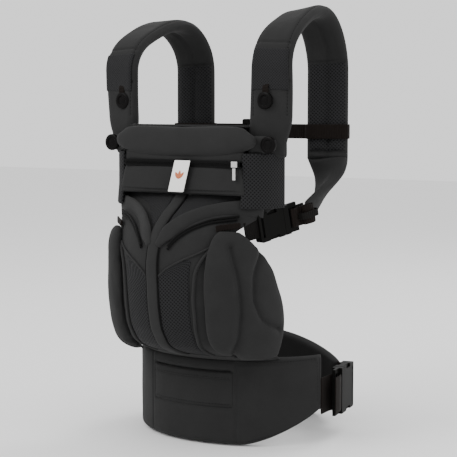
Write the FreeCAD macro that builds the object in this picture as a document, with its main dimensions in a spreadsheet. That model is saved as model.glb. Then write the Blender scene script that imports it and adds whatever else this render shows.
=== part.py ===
import FreeCAD, Part
import math
import os
import Sketcher

from FreeCAD import Placement, Rotation, Vector

# Soft structured baby carrier, standing on its waist belt. Millimetres, +Z up, -Y is the front,
# the origin is under the middle of the carrier, on the surface that it stands on.

doc = FreeCAD.newDocument("carrier")
sheet = doc.addObject("Spreadsheet::Sheet", "dims")

DRIVING = {
    "ring_shift": 43.0,           # middle of the waist loop, behind the origin
    "belt_half_width": 150.0,
    "belt_half_depth": 130.0,
    "belt_thick": 20.0,
    "belt_tall": 118.0,
    "belt_end_thick": 12.0,
    "wing_lift": 46.0,            # the short wing's lower edge rises by this much
    "tail_lift": 28.0,            # the long wing's lower edge rises by this much
    "tail_drop": 32.0,            # and its upper edge falls by this much
    "pocket_gap": 5.0,
    "cloth": 2.0,
    "panel_thick": 9.0,
    "pad_thick": 26.0,
    "pad_bulge": 8.0,
    "band_width": 18.0,
    "arm_width": 22.0,
    "strap_width": 56.0,
    "strap_thick": 18.0,
    "strap_front_y": -116.0,      # from the middle of the waist loop
    "strap_back_y": 44.0,
    "strap_x": 114.0,
    "strap_root_z": 388.0,
    "strap_bow_z": 495.0,
    "strap_heel_z": 375.0,
    "lining_thick": 5.0,
    "pillow_width": 214.0,
    "pillow_tall": 44.0,
    "pillow_thick": 22.0,
    "pillow_foot_z": 381.0,
    "pouch_width": 190.0,
    "pouch_tall": 41.0,
    "pouch_thick": 8.0,
    "pouch_foot_z": 335.0,
    "zip_tall": 6.0,
    "label_width": 25.0,
    "label_tall": 32.0,
    "snap_radius": 8.0,
    "snap_tall": 4.0,
    "side_webbing": 25.0,
    "waist_webbing": 50.0,
    "chest_webbing": 20.0,
    "webbing_thick": 1.6,
    "chest_z": 413.0,
}

for row, (word, value) in enumerate(DRIVING.items(), start=1):
    sheet.set("A%d" % row, word)
    sheet.set("B%d" % row, str(value))
    sheet.setAlias("B%d" % row, word)
doc.recompute()


def dim(word):
    return float(sheet.get(word))


nodes = []


def keep(item, label):
    """Gives a finished sub-part its own name and puts it on the list that is written out."""
    item.Label = label
    nodes.append(item)
    return item


def feature(label, shape):
    item = doc.addObject("Part::Feature", label)
    item.Shape = shape
    item.Placement = Placement(Vector(0, dim("ring_shift"), 0), Rotation())
    return item


def mix(table, key):
    """Straight-line interpolation in a list of (key, values) rows."""
    if key <= table[0][0]:
        return table[0][1]
    for (low, first), (high, second) in zip(table, table[1:]):
        if key <= high:
            share = (key - low) / (high - low)
            return [u + (v - u) * share for u, v in zip(first, second)]
    return table[-1][1]


# ---- soft shell of the carrier: half a superellipse at each height -------------------------

SHELL = [                                # height: half width, depth, middle, roundness
    (121.0, (112.0, 50.0, -88.0, 2.0)),
    (136.0, (113.0, 92.0, -88.0, 2.0)),
    (156.0, (115.0, 112.0, -88.0, 2.0)),
    (186.0, (116.0, 123.0, -87.0, 2.0)),
    (216.0, (116.0, 126.0, -87.0, 2.0)),
    (262.0, (116.0, 125.0, -87.0, 2.0)),
    (290.0, (117.0, 112.0, -88.0, 2.1)),
    (306.0, (119.0, 93.0, -90.0, 2.2)),
    (320.0, (121.0, 72.0, -91.0, 2.3)),
    (333.0, (123.0, 53.0, -93.0, 2.5)),
    (380.0, (124.0, 40.0, -94.0, 2.6)),
    (424.0, (124.0, 36.0, -95.0, 2.6)),
]


def shell_point(angle, height, out=0.0):
    """Point of the shell at an angle from straight ahead (degrees), moved outwards."""
    half, depth, middle, power = mix(SHELL, height)
    turn = math.radians(angle)
    side, front = math.sin(turn), math.cos(turn)
    x = (half + out) * math.copysign(abs(side) ** (2 / power), side)
    y = middle - (depth + out) * math.copysign(abs(front) ** (2 / power), front)
    return Vector(x, y, height)


def spread(low, high, count):
    return [low + (high - low) * i / (count - 1) for i in range(count)]


def smooth_edge(points):
    curve = Part.BSplineCurve()
    curve.interpolate(points)
    return curve.toShape()


def shell_wire(first, last, height, inner, outer, bulge=0.0):
    """Closed section of a shell piece; bulge lifts the middle of its outer side."""
    outside = []
    for i, angle in enumerate(spread(first, last, 9)):
        lift = bulge * math.sin(math.pi * i / 8)
        outside.append(shell_point(angle, height, outer + lift))
    inside = [shell_point(angle, height, inner) for angle in spread(last, first, 9)]
    edges = [
        smooth_edge(outside),
        Part.LineSegment(outside[-1], inside[0]).toShape(),
        smooth_edge(inside),
        Part.LineSegment(inside[-1], outside[0]).toShape(),
    ]
    return Part.Wire(edges)


def shell_piece(label, rows, inner, outer, bulge=0.0):
    """rows: (height, first angle, last angle), from the lowest up."""
    wires = [shell_wire(a, b, z, inner, outer, bulge) for z, a, b in rows]
    return keep(feature(label, Part.makeLoft(wires, True, False)), label)


def rows_between(low, high, count, first, last):
    return [(z, first, last) for z in spread(low, high, count)]


def seat_and_panel():
    thick = dim("panel_thick")
    levels = [122.0, 128.0, 140.0, 158.0, 186.0, 216.0, 262.0, 290.0, 306.0, 320.0, 331.0]
    reach = [(122.0, (37.0,)), (140.0, (32.0,)), (170.0, (30.0,)), (222.0, (30.0,)), (262.0, (35.0,)),
             (306.0, (38.0,)), (331.0, (38.0,))]
    sides = [mix(reach, z)[0] for z in levels]
    shell_piece("seat_panel", [(z, -a, a) for z, a in zip(levels, sides)], -thick, 0.0)
    shell_piece("upper_panel", rows_between(336.0, 423.0, 4, -37.0, 37.0), -thick, 0.0)
    for side, name in ((-1, "left"), (1, "right")):
        def turned(first, last):
            return (first, last) if side > 0 else (-last, -first)
        shell_piece("side_mesh_" + name,
                    [(z, *turned(46.0, 88.0)) for z in (323.0, 335.0, 355.0, 384.0)], -thick, 0.0)
        leaf = [(122.0, 41.5, 84.0), (140.0, 35.5, 88.0), (170.0, 33.0, 90.0), (216.0, 33.0, 90.0),
                (244.0, 37.5, 84.0), (262.0, 42.0, 74.0), (274.0, 47.0, 62.0)]
        rows = [(z, *turned(a, b)) for z, a, b in leaf]
        shell_piece("thigh_pad_" + name, rows, -dim("pad_thick") / 2, 3.0, dim("pad_bulge"))


def band(label, path, width, inner, outer):
    """Flat band lying on the shell. path: (angle, height) of its middle line."""
    wires = []
    for i, (angle, height) in enumerate(path):
        before = path[max(i - 1, 0)]
        after = path[min(i + 1, len(path) - 1)]
        along = shell_point(*after) - shell_point(*before)
        along.normalize()
        here = shell_point(angle, height)
        outward = shell_point(angle, height, 1.0) - here
        across = along.cross(outward)
        across.normalize()
        normal = across.cross(along)
        corners = [
            here + across * (width / 2) + normal * inner,
            here + across * (width / 2) + normal * outer,
            here - across * (width / 2) + normal * outer,
            here - across * (width / 2) + normal * inner,
        ]
        wires.append(Part.makePolygon(corners + corners[:1]))
    return keep(feature(label, Part.makeLoft(wires, True, False)), label)


def yoke():
    stem = [(0.0, z) for z in (126.0, 138.0, 156.0, 186.0, 216.0, 250.0, 276.0, 296.0, 314.0, 330.0)]
    band("yoke_stem", stem, dim("band_width"), 2.0, 4.2)
    for side, name in ((-1, "left"), (1, "right")):
        arm = [(side * angle, height) for angle, height in
               ((9.5, 281.0), (18.0, 290.0), (30.0, 299.0), (42.0, 307.0), (52.0, 314.0))]
        band("yoke_arm_" + name, arm, dim("arm_width"), 6.8, 9.2)


# ---- waist belt: an elliptical ring, open for the buckle ------------------------------------

def belt_edges(angle):
    """Lower and upper edge of the belt at an angle round the loop (0 at +X, 90 at the back)."""
    low, high = 0.0, dim("belt_tall")
    if angle <= -62.0 or angle >= 95.0:
        return low, high
    if angle < 0.0:
        share = (angle + 62.0) / 49.0
        return dim("wing_lift") * share ** 1.4, high
    share = max(0.0, (80.0 - angle) / 35.0)
    low = dim("tail_lift") * share ** 1.4
    fall = max(0.0, (95.0 - angle) / 50.0)
    return low, high - dim("tail_drop") * fall ** 1.3


def belt_thickness(angle):
    ends = (abs(angle + 13.0), abs(angle - 45.0))
    near = min(1.0, min(ends) / 25.0)
    return dim("belt_end_thick") + (dim("belt_thick") - dim("belt_end_thick")) * near


def belt_wire(angle, inner, outer, low, high):
    turn = math.radians(angle)
    on_ring = Vector(dim("belt_half_width") * math.cos(turn), dim("belt_half_depth") * math.sin(turn), 0)
    normal = Vector(math.cos(turn) / dim("belt_half_width"), math.sin(turn) / dim("belt_half_depth"), 0)
    normal.normalize()
    corners = [
        on_ring + normal * inner + Vector(0, 0, low),
        on_ring + normal * outer + Vector(0, 0, low),
        on_ring + normal * outer + Vector(0, 0, high),
        on_ring + normal * inner + Vector(0, 0, high),
    ]
    return Part.makePolygon(corners + corners[:1])


def belt_loft(first, last, count, inner=None, outer=0.0, low=None, high=None):
    wires = []
    for angle in spread(first, last, count):
        bottom, top = belt_edges(angle)
        inside = -belt_thickness(angle) if inner is None else inner
        wires.append(belt_wire(angle, inside, outer, bottom if low is None else low,
                               top if high is None else high))
    return Part.makeLoft(wires, True, False)


def belt_pad(label, first, last, recess):
    """Stretch of the belt with straight upper and lower edges: a sketch of two arcs, padded."""
    body = new_body(label)
    sketch = new_sketch(body, "XY_Plane", label + "_outline")
    inset = dim("belt_thick")
    ends = []
    for shrink in (recess, inset):
        half_width = dim("belt_half_width") - shrink
        half_depth = dim("belt_half_depth") - shrink
        oval = Part.Ellipse(Vector(0, 0, 0), half_width, half_depth)
        sketch.addGeometry(Part.ArcOfEllipse(oval, math.radians(first), math.radians(last)), False)
        ends.append([Vector(half_width * math.cos(math.radians(a)), half_depth * math.sin(math.radians(a)), 0)
                     for a in (first, last)])
    for outer, inner in zip(*ends):
        sketch.addGeometry(Part.LineSegment(outer, inner), False)
    item = body.newObject("PartDesign::Pad", label + "_pad")
    item.Profile = sketch
    item.setExpression("Length", "dims.belt_tall")
    body.Placement = Placement(Vector(0, dim("ring_shift"), 0), Rotation())


def belt():
    recess = dim("pocket_gap") + dim("cloth")
    belt_pad("belt_front", -118.0, -62.0, recess + 0.3)
    keep(feature("belt_wing_right", belt_loft(-61.7, -13.0, 7)), "belt_wing_right")
    belt_pad("belt_side_left", 151.2, 241.4, 0.0)
    keep(feature("belt_wing_left", belt_loft(45.0, 150.0, 10)), "belt_wing_left")
    outer = feature("pocket_outside", belt_loft(-117.5, -62.5, 7, -recess, 0.0, 20.0, 112.0))
    inner = feature("pocket_inside", belt_loft(-115.5, -64.5, 7, -recess - 1, -dim("cloth"), 24.0, 113.0))
    pocket = doc.addObject("Part::Cut", "belt_pocket")
    pocket.Base = outer
    pocket.Tool = inner
    keep(pocket, "belt_pocket")


# ---- helpers for the pieces built as bodies -------------------------------------------------

def new_body(label):
    body = doc.addObject("PartDesign::Body", label)
    return keep(body, label)


def new_sketch(body, role, name, lift=0.0):
    sketch = body.newObject("Sketcher::SketchObject", name)
    plane = [item for item in body.Origin.OriginFeatures if item.Role == role][0]
    sketch.AttachmentSupport = [(plane, "")]
    sketch.MapMode = "FlatFace"
    sketch.AttachmentOffset = Placement(Vector(0, 0, lift), Rotation())
    return sketch


def rectangle(sketch, x_from, x_to, y_from, y_to):
    """Axis-parallel rectangle whose four sides are expressions or numbers from the sketch's origin."""
    sides = []
    for side in (x_from, x_to, y_from, y_to):
        value = side if isinstance(side, (int, float)) else value_of(side)
        sides.append(float(value))
    low_x, high_x, low_y, high_y = sides
    corners = [Vector(low_x, low_y, 0), Vector(high_x, low_y, 0), Vector(high_x, high_y, 0),
               Vector(low_x, high_y, 0)]
    first = sketch.GeometryCount
    for i in range(4):
        sketch.addGeometry(Part.LineSegment(corners[i], corners[(i + 1) % 4]), False)
    for i in range(4):
        sketch.addConstraint(Sketcher.Constraint("Coincident", first + i, 2, first + (i + 1) % 4, 1))
    for i, kind in enumerate(("Horizontal", "Vertical", "Horizontal", "Vertical")):
        sketch.addConstraint(Sketcher.Constraint(kind, first + i))
    spans = (("DistanceX", 0, low_x, x_from), ("DistanceX", 1, high_x, x_to),
             ("DistanceY", 0, low_y, y_from), ("DistanceY", 2, high_y, y_to))
    for kind, edge, value, source in spans:
        at = sketch.addConstraint(Sketcher.Constraint(kind, -1, 1, first + edge, 1, value))
        if isinstance(source, str):
            sketch.setExpression("Constraints[%d]" % at, source)


def value_of(expression):
    """Number that an expression of sheet cells stands for."""
    return float(sheet.evalExpression(expression))


def pad(body, sketch, length, both_ways=True):
    item = body.newObject("PartDesign::Pad", "Pad_" + sketch.Name)
    item.Profile = sketch
    item.Midplane = both_ways
    set_length(item, length)
    return item


def pocket(body, sketch, length):
    item = body.newObject("PartDesign::Pocket", "Pocket_" + sketch.Name)
    item.Profile = sketch
    item.Midplane = True
    set_length(item, length)
    return item


def set_length(item, length):
    if isinstance(length, str):
        item.setExpression("Length", length)
    else:
        item.Length = length


def round_edges(body, base, radius, direction):
    """Rounds the straight edges of the last feature that run along one direction."""
    doc.recompute()
    names = []
    for i, edge in enumerate(base.Shape.Edges, start=1):
        if isinstance(edge.Curve, Part.Line) and abs(edge.Curve.Direction.dot(direction)) > 0.99:
            names.append("Edge%d" % i)
    item = body.newObject("PartDesign::Fillet", "Round_" + base.Name)
    item.Base = (base, names)
    item.Radius = radius
    return item


def facing(at, along, up):
    """Placement with its x axis along one vector and its z axis as near as can be to another."""
    x_axis = Vector(*along).normalize()
    z_axis = Vector(*up)
    y_axis = z_axis.cross(x_axis).normalize()
    z_axis = x_axis.cross(y_axis).normalize()
    matrix = FreeCAD.Matrix(
        x_axis.x, y_axis.x, z_axis.x, 0,
        x_axis.y, y_axis.y, z_axis.y, 0,
        x_axis.z, y_axis.z, z_axis.z, 0,
        0, 0, 0, 1)
    return Placement(Vector(at[0], at[1] + dim("ring_shift"), at[2]), Placement(matrix).Rotation)


def block(label, x_range, y_range, z_range, radius=0.0, place=None):
    """Rounded block in its own axes; ranges are numbers or expressions."""
    body = new_body(label)
    sketch = new_sketch(body, "XY_Plane", label + "_outline")
    rectangle(sketch, *x_range, *y_range)
    low, high = z_range
    item = body.newObject("PartDesign::Pad", label + "_pad")
    item.Profile = sketch
    item.Length = high - low
    sketch.AttachmentOffset = Placement(Vector(0, 0, low), Rotation())
    if radius:
        round_edges(body, item, radius, Vector(0, 0, 1))
    if place:
        body.Placement = place
    return body




def tube_loop(label, side):
    """Padded shoulder strap: up from the top corner, over the shoulder and down the back."""
    body = new_body(label)
    front, back = dim("strap_front_y"), dim("strap_back_y")
    root, bow, heel = dim("strap_root_z"), dim("strap_bow_z"), dim("strap_heel_z")
    path = new_sketch(body, "YZ_Plane", label + "_path", side * dim("strap_x"))
    middle = Vector((front + back) / 2, bow, 0)
    radius = (back - front) / 2
    path.addGeometry(Part.LineSegment(Vector(front, root, 0), Vector(front, bow, 0)), False)
    bow_arc = Part.ArcOfCircle(Part.Circle(middle, Vector(0, 0, 1), radius), 0.0, math.pi)
    path.addGeometry(bow_arc, False)
    path.addGeometry(Part.LineSegment(Vector(back, bow, 0), Vector(back, heel, 0)), False)
    section = new_sketch(body, "XY_Plane", label + "_section", root)
    half = "dims.strap_width / 2"
    middle_x = "%s dims.strap_x" % ("-" if side < 0 else "")
    rectangle(section, "%s - %s" % (middle_x, half), "%s + %s" % (middle_x, half),
              "dims.strap_front_y - dims.strap_thick / 2", "dims.strap_front_y + dims.strap_thick / 2")
    doc.recompute()
    pipe = body.newObject("PartDesign::AdditivePipe", label + "_pipe")
    pipe.Profile = section
    pipe.Spine = (path, ["Edge1", "Edge2", "Edge3"])
    body.Placement = Placement(Vector(0, dim("ring_shift"), 0), Rotation())


def twisted_end(label, side):
    """Lower end of a strap, which narrows and turns from facing back to facing sideways."""
    rows = [
        ((114, 44, 374.6), (0, 0, -1), (0, 1, 0), 56, 18),
        ((114, 40, 356), (0.05, -0.45, -0.9), (0.25, 0.85, -0.40), 54, 17),
        ((117, 22, 337), (0.1, -0.85, -0.5), (0.60, 0.45, -0.60), 46, 15),
        ((123, -12, 321), (0.2, -0.93, -0.3), (0.85, 0.0, -0.35), 36, 11),
        ((127.4, -42.5, 311.5), (0.3, -0.93, -0.2), (0.95, -0.30, 0.0), 26, 7),
    ]
    wires = []
    for at, along, out, width, thick in rows:
        along, out = Vector(*along).normalize(), Vector(*out)
        across = along.cross(out).normalize()
        out = across.cross(along).normalize()
        at = Vector(*at)
        corners = [at + across * (width / 2) - out * (thick / 2), at + across * (width / 2) + out * (thick / 2),
                   at - across * (width / 2) + out * (thick / 2), at - across * (width / 2) - out * (thick / 2)]
        corners = [Vector(side * p.x, p.y, p.z) for p in corners]
        wires.append(Part.makePolygon(corners + corners[:1]))
    keep(feature(label, Part.makeLoft(wires, True, False)), label)


def shift(x, y, z):
    """Upright placement at a point given from the middle of the waist loop."""
    return Placement(Vector(x, y + dim("ring_shift"), z), Rotation())


def straps():
    for side, name in ((-1, "left"), (1, "right")):
        tube_loop("strap_" + name, side)
        twisted_end("strap_end_" + name, side)
        inner = "dims.strap_width / 2 - 3"
        block("strap_mesh_" + name, ("-(%s)" % inner, inner), (0, "dims.lining_thick"),
              (0.0, 110.0), 0.0, shift(side * dim("strap_x"), dim("strap_back_y") - 14.4, 384.0))


def button(label, at, radius, tall, face=(0, -1, 0)):
    """Domed snap cap, turned about its own axis."""
    body = new_body(label)
    sketch = new_sketch(body, "XZ_Plane", label + "_half")
    edge = tall * 0.45
    outline = [Vector(0, 0, 0), Vector(radius, 0, 0), Vector(radius, edge, 0),
               Vector(radius * 0.72, tall, 0), Vector(radius * 0.5, tall, 0),
               Vector(radius * 0.36, tall * 0.7, 0), Vector(0, tall * 0.7, 0)]
    count = len(outline)
    for i in range(count):
        sketch.addGeometry(Part.LineSegment(outline[i], outline[(i + 1) % count]), False)
    for i in range(count):
        sketch.addConstraint(Sketcher.Constraint("Coincident", i, 2, (i + 1) % count, 1))
    item = body.newObject("PartDesign::Revolution", label + "_turn")
    item.Profile = sketch
    item.ReferenceAxis = (sketch, ["V_Axis"])
    item.Angle = 360.0
    body.Placement = facing(at, (1, 0, 0), face)


def headrest():
    half = "dims.pillow_width / 2"
    block("head_pillow", ("-" + half, half), ("-dims.pillow_thick", 0), (0.0, dim("pillow_tall")), 9.0,
          shift(0, -137.0, dim("pillow_foot_z")))
    for side, name in ((-1, "left"), (1, "right")):
        block("head_tab_" + name, (-18.0, 18.0), (0, 5.0), (0.0, 22.0), 0.0, shift(side * 116.0, -134.0, 388.0))
        button("tab_snap_" + name, (side * 125.0, -134.2, 399.0), dim("snap_radius"), dim("snap_tall"))
        button("strap_snap_" + name, (side * 114.0, -125.2, 455.0), dim("snap_radius"), dim("snap_tall"))


def pouch():
    half = "dims.pouch_width / 2"
    block("hood_pouch", ("-" + half, half), ("-dims.pouch_thick", 0), (0.0, dim("pouch_tall")), 2.0,
          shift(0, -146.6, dim("pouch_foot_z")))
    block("zip_tape", ("-dims.pouch_width / 2 + 6", "dims.pouch_width / 2 - 2"), (-0.9, 0),
          (0.0, dim("zip_tall")), 0.0, shift(0, -154.9, 371.0))
    block("zip_slider", (-4.5, 4.5), (-3.6, 0), (0.0, 7.4), 1.0, shift(88.0, -156.1, 370.6))
    block("zip_pull", (-2.2, 2.2), (-1.3, 0), (0.0, 15.0), 0.0, shift(88.0, -157.9, 354.4))
    block("label", ("-dims.label_width / 2", "dims.label_width / 2"), (-0.8, 0),
          (0.0, dim("label_tall")), 0.0, facing((0, -156.4, 335.6), (1, 0, 0), (0, 0.03, 1)))


# ---- side release buckles: x along the pull, y across, z through the thickness --------------

def buckle(name, webbing, long, thick, at, along, out):
    """Female and male halves and two prongs. The mouth is at the given point."""
    wide = webbing + 13.0
    place = facing(at, along, out)
    female = new_body(name + "_female")
    outline = new_sketch(female, "XY_Plane", name + "_shell")
    rectangle(outline, 0.0, long, -wide / 2, wide / 2)
    shell = pad(female, outline, thick)
    round_edges(female, shell, 3.0, Vector(0, 0, 1))
    inside = new_sketch(female, "XY_Plane", name + "_cavity")
    rectangle(inside, -1.0, long * 0.74, -wide / 2 + 3.2, wide / 2 - 3.2)
    pocket(female, inside, thick - 4.4)
    slot = new_sketch(female, "XY_Plane", name + "_slot")
    rectangle(slot, long - 7.5, long - 4.0, -webbing / 2 - 0.6, webbing / 2 + 0.6)
    pocket(female, slot, thick + 2.0)
    for sign, hand in ((-1, "low"), (1, "high")):
        window = new_sketch(female, "XY_Plane", name + "_window_" + hand)
        ends = sorted((sign * (wide / 2 - 4.4), sign * (wide / 2 + 1.0)))
        rectangle(window, long * 0.26, long * 0.64, *ends)
        pocket(female, window, thick + 2.0)
    female.Placement = place

    male = new_body(name + "_male")
    base = new_sketch(male, "XY_Plane", name + "_base")
    rectangle(base, -9.0, -0.4, -wide / 2, wide / 2)
    pad(male, base, thick)
    tongue = new_sketch(male, "XY_Plane", name + "_tongue")
    rectangle(tongue, -0.6, long * 0.6, -webbing * 0.12, webbing * 0.12)
    pad(male, tongue, thick - 5.6)
    ladder = new_sketch(male, "XY_Plane", name + "_ladder")
    rectangle(ladder, -26.0, -8.8, -wide / 2, wide / 2)
    pad(male, ladder, 4.0)
    for i, (low, high) in enumerate(((-14.0, -10.4), (-22.4, -18.0))):
        hole = new_sketch(male, "XY_Plane", name + "_hole_%d" % i)
        rectangle(hole, low, high, -webbing / 2 - 0.6, webbing / 2 + 0.6)
        pocket(male, hole, 5.0)
    male.Placement = place

    for sign, hand in ((-1, "low"), (1, "high")):
        prong = new_body(name + "_prong_" + hand)
        arm = new_sketch(prong, "XY_Plane", name + "_arm_" + hand)
        rectangle(arm, 0.0, long * 0.64 - 1.0, *sorted((sign * webbing * 0.27, sign * (wide / 2 - 4.0))))
        pad(prong, arm, thick - 5.6)
        grip = new_sketch(prong, "XY_Plane", name + "_grip_" + hand)
        rectangle(grip, long * 0.26 + 1.0, long * 0.64 - 1.0, *sorted((sign * (wide / 2 - 4.2), sign * wide / 2)))
        pad(prong, grip, thick - 5.6)
        prong.Placement = place


def ribbon(label, x_range, width, z_range, place):
    """Straight run of webbing in a buckle's axes."""
    half = width / 2
    body = block(label, x_range, (-half, half), z_range, 0.0, place)
    return body


def buckles():
    thick = dim("webbing_thick")
    width = dim("side_webbing")
    for side, name in ((-1, "left"), (1, "right")):
        at = (side * 118.0, -92.0, 300.0)
        along, out = (side * -0.30, -0.93, -0.2), (side * 0.95, -0.30, 0.0)
        place = facing(at, along, out)
        buckle("side_buckle_" + name, width, 42.0, 12.0, at, along, out)
        ribbon("anchor_webbing_" + name, (42.4, 60.0), width, (-0.8, 0.8), place)
        ribbon("strap_webbing_" + name, (-43.0, -18.0), width, (-6.6 - thick, -6.6), place)
        ribbon("tail_roll_" + name, (-53.0, -24.0), width, (3.0, 14.0), place)
    width = dim("waist_webbing")
    at, along, out = (141.8, 20.2, 62.0), (-0.24, 0.971, 0.0), (0.971, 0.24, 0.0)
    place = facing(at, along, out)
    buckle("waist_buckle", width, 50.0, 14.0, at, along, out)
    ribbon("waist_webbing_right", (-48.0, -20.0), width, (-7.6 - thick, -7.6), place)
    ribbon("waist_webbing_left", (0.0, 30.0), width, (-0.8, 0.8),
           facing((128.6, 70.6, 62.0), (-0.80, 0.60, 0.0), (0.60, 0.80, 0.0)))
    chest(thick)


def chest(thick):
    width = dim("chest_webbing")
    height = dim("chest_z")
    middle = dim("strap_back_y") - 7.0
    at, along, out = (6.0, middle, height), (-1.0, 0.0, 0.0), (0.0, 1.0, 0.0)
    place = facing(at, along, out)
    buckle("chest_buckle", width, 30.0, 10.0, at, along, out)
    ribbon("chest_webbing_left", (30.4, 89.6), width, (-0.8, 0.8), place)
    ribbon("chest_webbing_right", (-77.6, -16.0), width, (-5.6 - thick, -5.6), place)
    lining = 5.4
    for side, name in ((-1, "left"), (1, "right")):
        outer = doc.addObject("Part::Box", "sleeve_outer_" + name)
        inner = doc.addObject("Part::Box", "sleeve_inner_" + name)
        for item, room in ((outer, 0.6 + thick), (inner, 0.6)):
            item.setExpression("Length", "dims.strap_width + %g" % (2 * room))
            item.setExpression("Width", "dims.strap_thick + %g" % (2 * room + lining))
            item.setExpression("Height", "dims.chest_webbing")
            item.Placement = shift(side * dim("strap_x") - dim("strap_width") / 2 - room,
                                   dim("strap_back_y") - dim("strap_thick") / 2 - lining - room,
                                   height - width / 2)
        sleeve = doc.addObject("Part::Cut", "chest_loop_" + name)
        sleeve.Base = outer
        sleeve.Tool = inner
        keep(sleeve, "chest_loop_" + name)


seat_and_panel()
yoke()
belt()
straps()
headrest()
pouch()
buckles()
doc.recompute()

problems = []
for item in doc.Objects:
    if {"Invalid", "Error"} & set(item.State):
        problems.append("%s is %s" % (item.Label, item.State))
for item in nodes:
    if item.Shape.isNull() or not item.Shape.isValid() or len(item.Shape.Solids) != 1:
        problems.append("%s has no single valid solid" % item.Label)
if problems:
    raise RuntimeError("; ".join(problems))

os.makedirs("parts", exist_ok=True)
for item in nodes:
    item.Shape.exportStep("parts/%s.step" % item.Label)
print("%d sub-parts written" % len(nodes))
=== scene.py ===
import math

import bpy
import numpy as np
from bpy.props import FloatProperty, FloatVectorProperty, PointerProperty
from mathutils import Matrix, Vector, noise
from mathutils.kdtree import KDTree


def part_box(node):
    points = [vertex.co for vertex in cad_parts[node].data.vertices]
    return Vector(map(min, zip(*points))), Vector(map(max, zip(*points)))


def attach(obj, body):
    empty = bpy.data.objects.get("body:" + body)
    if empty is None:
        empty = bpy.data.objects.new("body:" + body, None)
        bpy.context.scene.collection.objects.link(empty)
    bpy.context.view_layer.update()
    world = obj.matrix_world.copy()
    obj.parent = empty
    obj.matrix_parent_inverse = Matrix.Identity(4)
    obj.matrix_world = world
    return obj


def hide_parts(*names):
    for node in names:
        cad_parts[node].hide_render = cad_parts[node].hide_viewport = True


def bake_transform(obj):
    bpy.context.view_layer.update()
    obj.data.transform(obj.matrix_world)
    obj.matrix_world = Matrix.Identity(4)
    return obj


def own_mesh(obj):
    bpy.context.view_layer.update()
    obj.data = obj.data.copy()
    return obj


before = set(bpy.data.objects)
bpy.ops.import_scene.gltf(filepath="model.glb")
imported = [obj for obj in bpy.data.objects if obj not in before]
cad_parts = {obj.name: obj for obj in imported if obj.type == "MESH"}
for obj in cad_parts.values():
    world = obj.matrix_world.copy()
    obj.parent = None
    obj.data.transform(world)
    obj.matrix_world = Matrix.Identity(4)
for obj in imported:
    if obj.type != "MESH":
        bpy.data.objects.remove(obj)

bl_info = {
    "name": "Soft baby carrier",
    "version": (1, 0, 0),
    "blender": (4, 5, 0),
    "location": "View3D > Sidebar > Carrier",
    "description": "Builds a soft structured baby carrier round its packed frame",
    "category": "Object",
}

# Lengths below are in millimetres from the middle of the waist loop, and become metres in the mesh.
MM = 0.001
BELT_HALF_WIDTH = 150.0
BELT_HALF_DEPTH = 130.0
LOOP_MIDDLE_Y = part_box("belt_wing_left")[1].y / MM - BELT_HALF_DEPTH
BELT_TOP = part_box("belt_side_left")[1].z / MM
STRAP_X = (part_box("strap_right")[0].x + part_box("strap_right")[1].x) / 2 / MM
PILLOW_LOW, PILLOW_HIGH = (c.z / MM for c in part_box("head_pillow"))
CHEST_HEIGHT = (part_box("chest_loop_right")[0].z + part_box("chest_loop_right")[1].z) / 2 / MM
PLUG_BAR = -12.5            # along a buckle's pull, where the webbing goes round its plug half's bar
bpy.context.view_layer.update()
SIDES = ((-1, "left"), (1, "right"))
FILLING_FRAMES = 20         # steps for which a pad's filling blows it up


# ---- settings --------------------------------------------------------------------------------

def colour_setting(name, hex_value, description):
    return FloatVectorProperty(name=name, description=description, subtype="COLOR", size=3,
                               min=0.0, max=1.0, default=linear(hex_value))


def linear(hex_value):
    """sRGB hex colour as linear red, green and blue."""
    channels = [int(hex_value[i:i + 2], 16) / 255 for i in (1, 3, 5)]
    return tuple(c / 12.92 if c <= 0.04045 else ((c + 0.055) / 1.055) ** 2.4 for c in channels)


class CarrierSizes(bpy.types.PropertyGroup):
    """Sizes that a maker of the carrier would change"""
    strap_width: FloatProperty(name="Strap width", description="Width of a padded shoulder strap",
                               default=0.056, min=0.04, max=0.09, unit="LENGTH")
    strap_thick: FloatProperty(name="Strap thickness", description="Thickness of a padded shoulder strap",
                               default=0.017, min=0.005, max=0.03, unit="LENGTH")
    pillow_puff: FloatProperty(name="Pillow fill", description="Thickness of the folded headrest",
                               default=0.021, min=0.01, max=0.04, unit="LENGTH")
    stitch: FloatProperty(name="Stitch length", description="Length of one visible stitch",
                          default=0.0032, min=0.001, max=0.01, unit="LENGTH")
    thread: FloatProperty(name="Thread", description="Thickness of the sewing thread",
                          default=0.0008, min=0.0003, max=0.002, unit="LENGTH")


class CarrierColours(bpy.types.PropertyGroup):
    """Colours of the carrier's cloths and fittings"""
    cotton: colour_setting("Cotton", "#232323", "Charcoal woven cotton of the body")
    cotton_band: colour_setting("Cotton band", "#252525", "Smoother cotton of the yoke and headrest")
    air_mesh: colour_setting("Air mesh", "#1c1c1d", "Knitted spacer mesh")
    webbing: colour_setting("Webbing", "#14100e", "Woven strap webbing")
    grey_webbing: colour_setting("Grey webbing", "#121110", "Woven webbing that holds the buckles")
    plastic: colour_setting("Plastic", "#0d0d0c", "Moulded buckles")
    snap: colour_setting("Snap", "#0e0d0d", "Moulded snap caps")
    # Near-black: real sewing thread, and painted shade of the groove where it colours the yoke's cords.
    thread: colour_setting("Thread", "#050505", "Sewing thread")
    label: colour_setting("Label", "#f0efec", "Woven label")
    motif: colour_setting("Motif", "#b5643c", "Leaf shape on the label")


def sizes():
    return bpy.context.scene.carrier_sizes


def colours():
    return bpy.context.scene.carrier_colours


# ---- materials -------------------------------------------------------------------------------

def add_node(tree, kind, settings=None, links=None):
    """Adds a node, sets its sockets and attributes, and links (socket name: source socket)."""
    node = tree.nodes.new(kind)
    for key, value in (settings or {}).items():
        if key in node.inputs:
            node.inputs[key].default_value = value
        else:
            setattr(node, key, value)
    for key, source in (links or {}).items():
        tree.links.new(source, node.inputs[key])
    return node


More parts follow.
